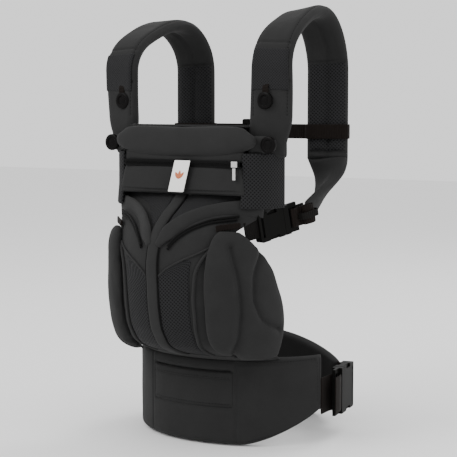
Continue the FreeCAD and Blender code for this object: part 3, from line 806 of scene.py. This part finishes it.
class CARRIER_OT_pouch(bpy.types.Operator):
    """Zipped pouch on the panel, with its label"""
    bl_idname = "carrier.pouch"
    bl_label = "Pouch, zip and label"

    def execute(self, context):
        points = flat_grid((-97.0, 97.0), (334.0, 370.5), -149.0, 30, 110)
        slope = (370.5 - points[:, :, 2]) / 36.5
        points[:, :, 1] += 4.5 * (np.abs(points[:, :, 0]) / 97.0) ** 4 - 6.0 * slope
        points[:, :, 0] *= 0.97 + 0.05 * slope
        edge = rim(30, 110, 0.04, 0.2)
        piece = quilt("pouch_cloth", points, 4.6 * edge + 0.8 * ripple(points, 30.0, 9) * edge + 0.4,
                      2.4 * edge + 0.3, forwards)
        sew(piece, [[(-95, -159.0, 338.0), (95, -159.0, 338.0)]], 0.9, 1.3)
        dress(piece, "cotton", "carrier")
        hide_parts("hood_pouch")
        roll = flat_grid((-94.0, 94.0), (376.0, 390.0), -149.0, 10, 90)
        roll[:, :, 1] += 4.5 * (np.abs(roll[:, :, 0]) / 96.0) ** 4
        top = quilt("pouch_top_edge", roll, 2.2 * rim(10, 90, 0.03, 0.3) + 0.4, 2.0, forwards)
        dress(top, "cotton", "carrier")
        sewn = stitches("pouch_stitches", [[(-90, -159.2, 340.0), (90, -159.2, 340.0)]], forwards, piece)
        dress(sewn, "thread", "carrier")
        self.zip(context)
        self.label()
        return {"FINISHED"}

    def zip(self, context):
        """Closed zip: its tape, two rows of teeth that meet, and the nickel slider and pull"""
        flat = flat_grid((-90.0, 93.0), (369.0, 378.0), -153.0, 6, 60)
        tape = quilt("zip_tape_cloth", flat, 0.5, 0.5, forwards)
        dress(tape, "thread", "carrier")
        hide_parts("zip_tape")
        teeth = []
        bpy.ops.object.select_all(action="DESELECT")
        for i, x in enumerate(np.arange(-88.0, 91.0, 1.6)):
            height = 373.4 + (0.7 if i % 2 else -0.7)
            bpy.ops.mesh.primitive_cube_add(size=1.0, location=in_metres((x, -153.8, height)),
                                            scale=(0.9 * MM, 0.9 * MM, 2.4 * MM))
            tooth = context.view_layer.objects.active
            bpy.ops.object.transform_apply(location=True, rotation=True, scale=True)
            teeth.append(tooth)
        joined = join("zip_teeth", teeth)
        finish_with(joined, "BEVEL", width=0.2 * MM, segments=1)
        dress(joined, "thread", "carrier")
        for node in ("zip_slider", "zip_pull"):
            carried_over(node, "nickel")

    def label(self):
        """White woven label that hangs askew from the pouch's top, with a plain leaf on it"""
        low, high = 337.0, 378.0
        points = flat_grid((-12.5, 12.5), (low, high), -160.0, 20, 14)
        hang = (high - points[:, :, 2]) / (high - low)
        points[:, :, 0] += 9.0 - 7.0 * hang
        points[:, :, 1] -= 6.0 * hang
        piece = quilt("label_cloth", points, 0.35, 0.35, forwards)
        dress(piece, "label", "carrier")
        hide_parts("label")
        leaves = []
        for turn in (-38.0, 0.0, 38.0):
            u = np.linspace(0, 1, 24)
            half = 2.3 * np.sin(np.pi * u) ** 0.8
            grid = np.zeros((24, 6, 3))
            for j, v in enumerate(np.linspace(-1, 1, 6)):
                x, z = half * v, 11.0 * u
                c, s = math.cos(math.radians(turn)), math.sin(math.radians(turn))
                spot = 354.0 + z * c - x * s
                drop = (high - spot) / (high - low)
                grid[:, j] = np.stack([x * c + z * s + 9.0 - 7.0 * drop, -160.5 - 6.0 * drop, spot], axis=1)
            leaves.append(quilt("leaf", grid, 0.15, 0.1, forwards))
        motif = join("label_motif", leaves)
        dress(motif, "motif", "carrier")


def carried_over(node, material):
    """Gives a frame node that stays in sight its finish."""
    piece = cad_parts[node]
    for material_slot in piece.material_slots:
        material_slot.material = MATERIALS[material]


# ---- headrest --------------------------------------------------------------------------------

TAB_HEIGHT = 399.0
SNAP_RADIUS, SNAP_DEPTH = 11.0, 3.6


class CARRIER_OT_headrest(bpy.types.Operator):
    """Folded headrest with its tabs and snaps"""
    bl_idname = "carrier.headrest"
    bl_label = "Headrest"

    def execute(self, context):
        rows, columns = 44, 120
        u, v = shares(rows, columns, -1.0)
        low = PILLOW_LOW - 0.5 + 17.0 * np.abs(v) ** 4
        high = PILLOW_HIGH - 1.0 - 5.0 * np.abs(v) ** 8
        middle = -147.0 + 5.0 * np.abs(v) ** 2.5
        half_width = 111.5 - 15.0 * smooth_step((u - 0.4) / 0.6)
        points = np.stack([half_width * v, middle, low + (high - low) * u], axis=2)
        crown = rim(rows, columns, 0.09, 0.5)
        half = sizes().pillow_puff / MM / 2
        pillow = quilt("head_pillow_cloth", points, (half - 2.0) * crown + 1.4, (half - 3.5) * crown + 1.4,
                       forwards)
        puff(pillow, 4.0, 3.0, 4.0)
        dress(pillow, "band", "headrest")
        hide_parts("head_pillow")
        self.hem()
        for side, name in SIDES:
            self.tab(side, name)
            for prefix, body, at in (("tab", "headrest", (125.0, -134.2, TAB_HEIGHT)),
                                     ("strap", "carrier", (114.0, -125.2, 455.0))):
                snap_cap("%s_snap_cap_%s" % (prefix, name), side * at[0], at[1], at[2], body,
                         "%s_snap_%s" % (prefix, name))
            loop = buckle_axes((side * 115.0, -126.0, 468.0), (0.0, 0.0, 1.0), (0.0, -1.0, 0.0))
            web("snap_loop_" + name, loop, [(-8.0, 0.6), (2.0, 1.8), (6.0, 1.2), (8.0, -1.0)], 9.0, 1.6,
                "webbing", "carrier")
        return {"FINISHED"}

    def hem(self):
        """Cloth from the panel's top edge to the headrest."""
        rows, columns = 14, 90
        points = np.zeros((rows, columns, 3))
        for j, angle in enumerate(np.linspace(-43.0, 43.0, columns)):
            back = shell_point(angle, 421.0, -1.5)
            front_y = 5.0 * abs(back[0] / 96.5) ** 2.5 - 145.5
            front = np.array([back[0], front_y, PILLOW_HIGH - 3.0])
            points[:, j] = back + (front - back) * np.linspace(0, 1, rows)[:, None]
        piece = quilt("headrest_hem", points, 1.0, 1.0, lambda grid: np.array([0.0, 0.0, 1.0]))
        dress(piece, "band")
        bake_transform(piece)

    def tab(self, side, name):
        """Round-ended tab at the headrest's corner, which holds its snap"""
        rows, columns = 16, 24
        u, v = shares(rows, columns)
        half = 11.0 * np.sqrt(np.clip(1 - np.clip((v - 0.55) / 0.5, 0, 1) ** 2, 0.02, 1))
        sewn_on = 1.0 - smooth_step(v / 0.45)
        height = TAB_HEIGHT + half * (2 * u - 1)
        points = np.stack([side * (96.0 + 37.0 * v), -131.5 - 7.0 * sewn_on, height], axis=2)
        edge = rim(rows, columns, 0.15, 0.2)
        piece = quilt("head_tab_cloth_" + name, points, 2.2 * edge + 0.4, 1.6, forwards)
        dress(piece, "band", "headrest")
        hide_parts("head_tab_" + name)


def snap_cap(name, x, y, z, body, node):
    """Moulded snap: a disc with a raised ring and a dished middle, facing forwards."""
    bpy.ops.object.select_all(action="DESELECT")
    bpy.ops.mesh.primitive_cylinder_add(vertices=48, radius=SNAP_RADIUS * MM, depth=SNAP_DEPTH * MM,
                                        end_fill_type="NGON", rotation=(math.radians(90), 0, 0),
                                        location=in_metres((x, y - SNAP_DEPTH / 2, z)))
    piece = bpy.context.view_layer.objects.active
    piece.name = piece.data.name = name
    bpy.ops.object.transform_apply(location=True, rotation=True, scale=True)
    front_y = in_metres((x, y - SNAP_DEPTH + 0.1, z))[1]
    bpy.ops.object.mode_set(mode="EDIT")
    bpy.ops.mesh.select_mode(type="FACE")
    bpy.ops.mesh.select_all(action="DESELECT")
    bpy.ops.object.mode_set(mode="OBJECT")
    for polygon in piece.data.polygons:
        polygon.select = polygon.center.y < front_y and polygon.normal.y < -0.9
    bpy.ops.object.mode_set(mode="EDIT")
    bpy.ops.mesh.inset(thickness=2.4 * MM, depth=0.9 * MM)
    bpy.ops.mesh.inset(thickness=1.8 * MM, depth=0.0)
    bpy.ops.mesh.inset(thickness=1.0 * MM, depth=-1.6 * MM)
    bpy.ops.mesh.inset(thickness=2.4 * MM, depth=0.7 * MM)
    bpy.ops.object.mode_set(mode="OBJECT")
    finish_with(piece, "BEVEL", width=0.45 * MM, segments=3, limit_method="ANGLE")
    bpy.ops.object.shade_smooth_by_angle(angle=math.radians(40))
    dress(piece, "snap", body)
    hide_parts(node)


# ---- waist belt ------------------------------------------------------------------------------

WING_END, TAIL_END = -13.0, -315.0       # degrees round the loop, 0 at +X and -90 in front
POCKET_SIDES = (-118.0, -66.5)
POCKET_LOW, POCKET_HIGH, POCKET_DEPTH = 51.0, 99.0, 6.6


def belt_edges(angle):
    """Heights of the belt's lower and upper edge, which close in towards its ends."""
    low, high = 0.2, BELT_TOP - 0.2
    rise = max(0.0, (angle + 62.0) / 49.0)
    tail = max(0.0, (-280.0 - angle) / 35.0)
    fall = max(0.0, (-265.0 - angle) / 50.0)
    return low + 46.0 * rise ** 1.4 + 28.0 * tail ** 1.4, high - 32.0 * fall ** 1.3


def belt_point(angle, height, out):
    """Point of the belt's outer face at an angle round the loop, moved outwards."""
    turn = math.radians(angle)
    normal = np.array([math.cos(turn) / BELT_HALF_WIDTH, math.sin(turn) / BELT_HALF_DEPTH])
    normal /= np.linalg.norm(normal)
    return np.array([BELT_HALF_WIDTH * math.cos(turn) + normal[0] * out,
                     BELT_HALF_DEPTH * math.sin(turn) + normal[1] * out, height])


def belt_line(first, last, share, out=0.0):
    """Line round the belt at a share of its height."""
    line = []
    for angle in np.linspace(first, last, 60):
        low, high = belt_edges(angle)
        line.append(belt_point(angle, low + (high - low) * share, out))
    return np.array(line)


class CARRIER_OT_belt(bpy.types.Operator):
    """Padded waist belt and the flat pocket on its front"""
    bl_idname = "carrier.belt"
    bl_label = "Waist belt"

    def execute(self, context):
        rows, columns = 44, 276
        angles = np.linspace(WING_END, TAIL_END, columns)
        points = np.zeros((rows, columns, 3))
        depth = np.zeros((rows, columns))
        recess = np.zeros((rows, columns))
        for j, angle in enumerate(angles):
            low, high = belt_edges(angle)
            ends = min(1.0, min(abs(angle - WING_END), abs(angle - TAIL_END)) / 25.0)
            thick = 12.0 + 8.0 * ends
            for i, share in enumerate(np.linspace(0, 1, rows)):
                height = low + (high - low) * share
                points[i, j] = belt_point(angle, height, -thick / 2)
                depth[i, j] = thick / 2
                aside = min(angle - POCKET_SIDES[0], POCKET_SIDES[1] - angle)
                recess[i, j] = (POCKET_DEPTH * smooth_step(aside / 1.2)
                                * smooth_step((height - POCKET_LOW) / 2.0)
                                * smooth_step((POCKET_HIGH + 3.0 - height) / 2.0))
        edge = rim(rows, columns, 0.012, 0.07)
        wave = 0.5 * ripple(points, 45.0, 11) * edge
        belt = quilt("waist_belt_cloth", points, (depth - recess) * edge + wave, depth * edge, from_middle)
        sew(belt, [belt_line(-20.0, -64.0, 0.94, 0.0)], 0.9, 2.2)
        ends = [[belt_point(-16.5, z, -1.0) for z in np.linspace(54.0, 112.0, 20)],
                [belt_point(-64.8, z, 0.0) for z in np.linspace(6.0, 112.0, 30)],
                [belt_point(-120.0, z, 0.0) for z in np.linspace(6.0, 112.0, 30)]]
        sew(belt, ends, 1.3, 1.8)
        dress(belt, "cotton", "carrier")
        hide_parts("belt_front", "belt_side_left", "belt_wing_left", "belt_wing_right")
        self.pocket()
        end_rows = [[belt_point(-17.8, z, -0.4) for z in np.linspace(57.0, 112.0, 20)],
                    belt_line(-19.0, -60.0, 0.05, -1.0), belt_line(-19.0, -60.0, 0.95, -1.0)]
        sewn = stitches("belt_stitches", end_rows, from_middle, belt)
        dress(sewn, "thread", "carrier")
        return {"FINISHED"}

    def pocket(self):
        """Flat pocket let into the belt's front, open at its top"""
        rows, columns = 44, 90
        points = np.zeros((rows, columns, 3))
        for j, angle in enumerate(np.linspace(POCKET_SIDES[0] - 0.5, POCKET_SIDES[1] + 0.5, columns)):
            for i, height in enumerate(np.linspace(POCKET_LOW, POCKET_HIGH, rows)):
                points[i, j] = belt_point(angle, height, -3.2)
        edge = rim(rows, columns, 0.03, 0.06)
        sag = 0.8 * ripple(points, 36.0, 13) * edge
        piece = quilt("belt_pocket_cloth", points, 3.0 * edge + 0.3 + sag, 2.4 * edge + 0.3, from_middle)
        seam = [belt_point(a, 53.5, -0.2) for a in np.linspace(-117.0, -67.5, 60)]
        hem = [belt_point(a, 89.5, -0.2) for a in np.linspace(-117.0, -67.5, 60)]
        sew(piece, [seam], 1.6, 1.8)
        sew(piece, [hem], 0.7, 1.2)
        dress(piece, "cotton", "carrier")
        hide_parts("belt_pocket")
        rows = [[belt_point(a, 55.5, 0.0) for a in np.linspace(-116.0, -68.0, 60)],
                [belt_point(a, 91.0, 0.0) for a in np.linspace(-116.0, -68.0, 60)]]
        sewn = stitches("pocket_stitches", rows, from_middle, piece)
        dress(sewn, "thread", "carrier")


# ---- shoulder straps -------------------------------------------------------------------------

FRONT_Y, BACK_Y, BOW_Z = -116.0, 44.0, 495.0
STRAP_ROOT, STRAP_HEEL = 384.0, 375.0
BOW_RADIUS = (BACK_Y - FRONT_Y) / 2
RISE = BOW_Z - STRAP_ROOT
ROUND = math.pi * BOW_RADIUS
STRAP_LENGTH = RISE + ROUND + BOW_Z - STRAP_HEEL
HANG = {                                 # length along a strap, roll in degrees, distance from the middle
    1: ((0.0, 22.0, 115.0), (90.0, 15.0, 117.5), (150.0, 5.0, 117.0), (235.0, -8.0, 114.0),
        (335.0, -23.0, 108.0), (365.0, -24.0, 108.0), (STRAP_LENGTH, -24.0, 108.0)),
    -1: ((0.0, 16.0, 117.0), (90.0, 10.0, 122.0), (150.0, 6.0, 122.0), (235.0, 2.0, 118.0),
         (335.0, 19.0, 112.0), (365.0, 20.0, 112.0), (STRAP_LENGTH, 20.0, 112.0)),
}
LEFT_SINK = 10.0                         # the left strap flops lower than the right one


def strap_frame(far, side):
    """Point, outward face and width direction of a strap at a length along it."""
    if far < RISE:
        y, z, face = FRONT_Y, STRAP_ROOT + far, (-1.0, 0.0)
    elif far < RISE + ROUND:
        turn = (far - RISE) / BOW_RADIUS
        middle = (FRONT_Y + BACK_Y) / 2
        height = BOW_RADIUS * (0.8 + 0.2 * smooth_step((math.degrees(turn) - 50.0) / 80.0))
        y, z = middle - BOW_RADIUS * math.cos(turn), BOW_Z + height * math.sin(turn)
        z -= (LEFT_SINK if side < 0 else 0.0) * math.sin(turn)
        face = (-math.cos(turn), math.sin(turn))
    else:
        y, z, face = BACK_Y, BOW_Z - (far - RISE - ROUND), (1.0, 0.0)
    roll, x = along(HANG[side], far)
    roll = math.radians(roll)
    out = np.array([side * math.sin(roll), face[0] * math.cos(roll), face[1] * math.cos(roll)])
    across = np.array([math.cos(roll), -side * face[0] * math.sin(roll), -side * face[1] * math.sin(roll)])
    return np.array([side * x, y, z]), out, across


def strap_grid(side, first, last, width, rows, columns, lift):
    """Grid along a strap and the way that its face looks, with the strap's root drawn in."""
    points = np.zeros((rows, columns, 3))
    outs = np.zeros((rows, columns, 3))
    for i, far in enumerate(np.linspace(first, last, rows)):
        at, out, across = strap_frame(far, side)
        for j, reach in enumerate(np.linspace(-width / 2, width / 2, columns)):
            points[i, j] = at + across * reach * (0.68 + 0.32 * smooth_step(far / 50.0)) + out * lift
            outs[i, j] = out
    return points, outs


class CARRIER_OT_straps(bpy.types.Operator):
    """Looped shoulder straps with their mesh lining and narrowing ends"""
    bl_idname = "carrier.straps"
    bl_label = "Shoulder straps"

    def execute(self, context):
        for side, name in SIDES:
            self.strap(side, name)
            self.lining(side, name)
            self.end(side, name)
        return {"FINISHED"}

    def strap(self, side, name):
        rows, columns = 200, 34
        width, thick = sizes().strap_width / MM, sizes().strap_thick / MM
        points, outs = strap_grid(side, 0.0, STRAP_LENGTH, width, rows, columns, 0.0)
        share, reach = shares(rows, columns, -1.0)
        far = share * STRAP_LENGTH
        edge = rim(rows, columns, 0.22, 0.01) * (0.5 + 0.5 * smooth_step(far / 40.0))
        outer = thick / 2 * edge + 0.5 * ripple(points, 26.0, 20 + side) * edge
        inner = thick / 2 * edge - 2.2 * groove(reach, 0.0, 0.16) * smooth_step((far - 150) / 60) * edge
        strap = quilt("strap_cloth_" + name, points, outer, inner, lambda grid: outs)
        # The two long seams start above the root, where the strap is still narrow.
        line = [strap_frame(f, side) for f in np.linspace(4.0, STRAP_LENGTH - 4.0, 160)][16:]
        seams = [[at + across * width * place + out * thick * 0.42 for at, out, across in line]
                 for place in (-0.40, 0.40)]
        sew(strap, seams, 0.9, 1.4)
        cross = []
        for place, lift in ((RISE + 40.0, 0.5), (96.0, 0.5), (RISE + ROUND - 14.0, -0.5),
                            (STRAP_LENGTH - 10.0, -0.5)):
            at, out, across = strap_frame(place, side)
            cross.append([at + across * width * r + out * thick * lift
                          for r in np.linspace(-0.46, 0.46, 20)])
        sew(strap, cross, 1.6, 2.0)
        dress(strap, "cotton", "carrier")
        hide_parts("strap_" + name)
        hole = np.array([side * STRAP_X, (FRONT_Y + BACK_Y) / 2, 455.0])
        sewn = stitches("strap_stitches_" + name, seams, lambda place: place - hole, strap)
        dress(sewn, "thread", "carrier")

    def lining(self, side, name):
        """Two-lobed mesh on the wearer's side behind, and a flat patch of fine mesh in front"""
        width, thick = sizes().strap_width / MM - 7.0, sizes().strap_thick / MM
        rows, columns = 90, 36
        for label, first, last in (("back", RISE + ROUND - 12.0, STRAP_LENGTH - 12.0),
                                   ("front", 84.0, RISE + 30.0)):
            lift = -thick / 2 + 1.2 if label == "back" else thick / 2 - 1.2
            points, outs = strap_grid(side, first, last, width, rows, columns, lift)
            edge = rim(rows, columns, 0.1, 0.05)
            reach = shares(rows, columns, -1.0)[1]
            lobes = (np.clip(1 - (np.abs(np.abs(reach) - 0.5) / 0.5) ** 2.4, 0, 1) if label == "back"
                     else np.full_like(reach, 0.45))
            face = -outs if label == "back" else outs
            piece = quilt("strap_lining_%s_%s" % (label, name), points, 0.6 + 4.2 * edge * lobes, 0.4,
                          lambda grid, face=face: face)
            dress(piece, "mesh" if label == "back" else "fine_mesh", "carrier")
            if label == "back":
                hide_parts("strap_mesh_" + name)

    def end(self, side, name):
        """Narrowing padded end that turns forwards to the side buckle"""
        flip = np.array([side, 1.0, 1.0])
        top, face, _ = strap_frame(STRAP_LENGTH, side)
        # share, place, pull, outward face, width and thickness
        table = [(0.0, *(top * flip + np.array([0, 0, 2.0])), 0.0, 0.0, -1.0, *(face * flip), 56, 17),
                 (0.22, 113, 40, 356, 0.05, -0.45, -0.9, 0.25, 0.85, -0.40, 53, 16),
                 (0.48, 117, 22, 337, 0.1, -0.85, -0.5, 0.60, 0.45, -0.60, 45, 14),
                 (0.75, 123, -12, 321, 0.2, -0.93, -0.3, 0.85, 0.0, -0.35, 35, 10),
                 (1.0, 128.5, -47, 310, 0.3, -0.93, -0.2, 0.95, -0.30, 0.0, 25, 5)]
        rows, columns = 60, 26
        points, outs = np.zeros((rows, columns, 3)), np.zeros((rows, columns, 3))
        thick = np.zeros((rows, columns))
        for i, key in enumerate(np.linspace(0, 1, rows)):
            row = along(table, key)
            at, ahead, out = row[0:3], row[3:6] / np.linalg.norm(row[3:6]), row[6:9]
            across = np.cross(ahead, out)
            across /= np.linalg.norm(across)
            out = np.cross(across, ahead)
            for j, reach in enumerate(np.linspace(-0.5, 0.5, columns)):
                points[i, j] = (at + across * reach * row[9]) * flip
                outs[i, j] = out * flip
                thick[i, j] = row[10] / 2
        half = thick * rim(rows, columns, 0.24, 0.04) + 0.3
        piece = quilt("strap_end_cloth_" + name, points, half, half, lambda grid: outs)
        dress(piece, "cotton", "carrier")
        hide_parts("strap_end_" + name)


# ---- webbing and buckles ---------------------------------------------------------------------

def buckle_axes(at, ahead, out):
    """Columns: where a buckle lies, its pull, its width and its thickness."""
    ahead = np.array(ahead, float) / np.linalg.norm(ahead)
    out = np.array(out, float)
    across = np.cross(out, ahead)
    across /= np.linalg.norm(across)
    return np.array(at, float), ahead, across, np.cross(ahead, across)


def web(name, axes, path, width, thick, material, body, node=None):
    """Run of webbing through (along, lift) marks in a buckle's axes."""
    at, ahead, across, out = axes
    line = resample([(x, 0.0, z) for x, z in path], 1.5)
    points = np.zeros((len(line), 14, 3))
    for i, (x, _, z) in enumerate(line):
        for j, reach in enumerate(np.linspace(-width / 2, width / 2, 14)):
            points[i, j] = at + ahead * x + across * reach + out * z
    slope = np.gradient(line, axis=0)
    face = ahead * -slope[:, 2:3] + out * slope[:, 0:1]
    half = thick / 2 * (0.55 + 0.45 * rim(len(line), 14, 0.12))
    piece = quilt(name, points, half, half, lambda grid: np.repeat(face[:, None, :], 14, axis=1))
    dress(piece, material, body)
    if node:
        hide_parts(node)
    return piece


def give_way(piece):
    """Gives a run of webbing its own copy of its mesh."""
    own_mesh(piece)


def spiral(x, z, start, end, turns, squash):
    """Marks of rolled webbing round a point."""
    marks = []
    for share in np.linspace(0, 1, 60):
        turn = 2 * math.pi * turns * share
        radius = start + (end - start) * share
        marks.append((x + radius * squash * math.cos(turn), z + radius * math.sin(turn)))
    return marks


def band_marks(count, reach_x, reach_z, power, x=0.0, z=0.0):
    """Marks of a band closed round something with rounded corners."""
    marks = []
    for turn in np.linspace(0, 2 * math.pi, count):
        c, s = math.cos(turn), math.sin(turn)
        marks.append((x + reach_x * math.copysign(abs(c) ** power, c),
                      z + reach_z * math.copysign(abs(s) ** power, s)))
    return marks


class CARRIER_OT_webbing(bpy.types.Operator):
    """Webbing, rolled tails and side-release buckles"""
    bl_idname = "carrier.webbing"
    bl_label = "Webbing and buckles"

    def execute(self, context):
        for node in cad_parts:
            if "buckle" in node:
                carried_over(node, "plastic")
        for side, name in SIDES:
            self.side_run(side, name)
        self.waist()
        self.chest()
        return {"FINISHED"}

    def side_run(self, side, name):
        """Webbing at both ends of a side buckle, and its tail rolled up in an elastic keeper"""
        axes = buckle_axes((side * 118.0, -92.0, 300.0), (side * -0.30, -0.93, -0.2),
                           (side * 0.95, -0.30, 0.0))
        plug = "side_buckle_" + name + "_male"
        roll_x, roll_z = -38.5, 8.5
        web("anchor_web_" + name, axes, [(39.5, 2.0), (44.0, 1.0), (52.0, -0.5), (62.0, -1.5)],
            25.0, 1.8, "grey_webbing", "carrier", "anchor_webbing_" + name)
        run = web("strap_web_" + name, axes,
                  [(-47.0, -8.0), (-30.0, -7.6), (-20.0, -5.0), (PLUG_BAR, -2.0)],
                  25.0, 1.6, "grey_webbing", "carrier", "strap_webbing_" + name)
        give_way(run)
        web("tail_web_" + name, axes, [(PLUG_BAR, 5.0), (-17.0, 7.0), (-24.0, 6.0)]
            + spiral(roll_x, roll_z, 1.2, 5.4, 3.0, 2.3),
            25.0, 1.3, "webbing", plug, "tail_roll_" + name)
        web("side_keeper_" + name, axes, band_marks(49, 15.2, 6.9, 0.6, roll_x, roll_z),
            9.0, 1.0, "grey_webbing", plug)

    def waist(self):
        """Wide webbing at both ends of the waist buckle, with its tail folded back"""
        axes = buckle_axes((141.8, 20.2, 62.0), (-0.24, 0.971, 0.0), (0.971, 0.24, 0.0))
        run = web("waist_web_right", axes, [(-52.0, -10.5), (-40.0, -8.8), (-26.0, -7.0), (PLUG_BAR, -2.0)],
                  50.0, 1.8, "webbing", "carrier", "waist_webbing_right")
        give_way(run)
        web("waist_web_fold", axes, [(PLUG_BAR, 5.0), (-18.0, 7.5), (-30.0, 8.5), (-44.0, 7.0)],
            50.0, 1.8, "webbing", "waist_buckle_male")
        stub = buckle_axes((128.6, 70.6, 62.0), (-0.80, 0.60, 0.0), (0.60, 0.80, 0.0))
        web("waist_web_left", stub, [(-3.0, 0.4), (6.0, 0.0), (20.0, -1.0), (34.0, -3.0)],
            50.0, 1.8, "webbing", "carrier", "waist_webbing_left")

    def chest(self):
        """Chest strap between the shoulder straps, looped round both"""
        axes = buckle_axes((6.0, 37.0, CHEST_HEIGHT), (-1.0, 0.0, 0.0), (0.0, 1.0, 0.0))
        web("chest_web_left", axes, [(25.0, 0.0), (60.0, 0.5), (92.0, 0.0)],
            20.0, 1.6, "webbing", "chest_rig", "chest_webbing_left")
        run = web("chest_web_right", axes, [(-80.0, -6.4), (-40.0, -6.8), (-22.0, -5.0), (PLUG_BAR, -1.5)],
                  20.0, 1.6, "webbing", "chest_rig", "chest_webbing_right")
        give_way(run)
        width, thick = sizes().strap_width / MM, sizes().strap_thick / MM
        for side, name in SIDES:
            at, face, across = strap_frame(STRAP_LENGTH + STRAP_HEEL - CHEST_HEIGHT, side)
            around = (at - face * 2.2, across, np.array([0.0, 0.0, 1.0]), face)
            web("chest_loop_web_" + name, around, band_marks(97, width / 2 + 1.4, thick / 2 + 4.2, 0.35),
                20.0, 1.6, "webbing", "chest_rig", "chest_loop_" + name)


# ---- stage -----------------------------------------------------------------------------------

LAMPS = (                                # name, place, what it points at, width and watts
    ("key", (-0.9, -1.9, 2.0), (0, 0, 0.25), 1.2, 34),
    ("side", (1.9, -0.3, 1.2), (0, 0, 0.25), 1.0, 7),
    ("rim", (0.4, 1.8, 1.9), (0, 0, 0.35), 1.0, 20),
)
CAMERA_PLACE = (1.0896, -1.630, 0.452)
CAMERA_DIP, CAMERA_TURN = 5.0, 33.7      # degrees down, and round from straight ahead
CAMERA_LENS, CAMERA_SENSOR = 113.1, 36.0


def area_light(name, place, target, size, power):
    data = bpy.data.lights.new(name, "AREA")
    data.shape = "DISK"
    data.size = size
    data.energy = power
    lamp = bpy.data.objects.new(name, data)
    lamp.location = place
    lamp.rotation_euler = (Vector(target) - Vector(place)).to_track_quat("-Z", "Y").to_euler()
    bpy.context.scene.collection.objects.link(lamp)


class CARRIER_OT_stage(bpy.types.Operator):
    """Pale floor, soft lamps and the camera"""
    bl_idname = "carrier.stage"
    bl_label = "Stage"

    def execute(self, context):
        bpy.ops.object.select_all(action="DESELECT")
        bpy.ops.mesh.primitive_plane_add(size=12.0, location=(0, 0, -0.0005))
        floor = context.view_layer.objects.active
        floor.name = floor.data.name = "floor"
        material, _, shader = start_material("matt_paper_floor", 0.95)
        shader.inputs["Base Color"].default_value = (0.86, 0.86, 0.86, 1)
        floor.data.materials.append(material)
        world = context.scene.world or bpy.data.worlds.new("studio")
        context.scene.world = world
        world.use_nodes = True
        sky = world.node_tree.nodes["Background"]
        sky.inputs["Color"].default_value = (1, 1, 1, 1)
        sky.inputs["Strength"].default_value = 1.25
        for lamp in LAMPS:
            area_light(*lamp)
        data = bpy.data.cameras.new("camera")
        data.lens = CAMERA_LENS
        data.sensor_width = CAMERA_SENSOR
        data.dof.use_dof = False
        camera = bpy.data.objects.new("camera", data)
        camera.location = CAMERA_PLACE
        camera.rotation_euler = (math.radians(90 - CAMERA_DIP), 0, math.radians(CAMERA_TURN))
        context.scene.collection.objects.link(camera)
        context.scene.camera = camera
        return {"FINISHED"}


class CARRIER_PT_panel(bpy.types.Panel):
    """Pieces of the carrier, in the order in which they are made"""
    bl_idname = "CARRIER_PT_panel"
    bl_label = "Carrier"
    bl_space_type = "VIEW_3D"
    bl_region_type = "UI"
    bl_category = "Carrier"

    def draw(self, context):
        for operator in OPERATORS:
            self.layout.operator(operator.bl_idname)
        for settings in (sizes(), colours()):
            for key in settings.bl_rna.properties.keys():
                if key not in ("rna_type", "name"):
                    self.layout.prop(settings, key)


OPERATORS = (CARRIER_OT_stage, CARRIER_OT_seat, CARRIER_OT_thigh_pads, CARRIER_OT_pouch,
             CARRIER_OT_headrest, CARRIER_OT_belt, CARRIER_OT_straps, CARRIER_OT_webbing)
CLASSES = (CarrierSizes, CarrierColours, CARRIER_PT_panel) + OPERATORS


def register():
    for cls in CLASSES:
        bpy.utils.register_class(cls)
    bpy.types.Scene.carrier_sizes = PointerProperty(type=CarrierSizes)
    bpy.types.Scene.carrier_colours = PointerProperty(type=CarrierColours)


def unregister():
    del bpy.types.Scene.carrier_colours
    del bpy.types.Scene.carrier_sizes
    for cls in reversed(CLASSES):
        bpy.utils.unregister_class(cls)


def main():
    register()
    make_materials()
    for operator in OPERATORS:
        group, name = operator.bl_idname.split(".")
        getattr(getattr(bpy.ops, group), name)()


if __name__ == "__main__":
    main()
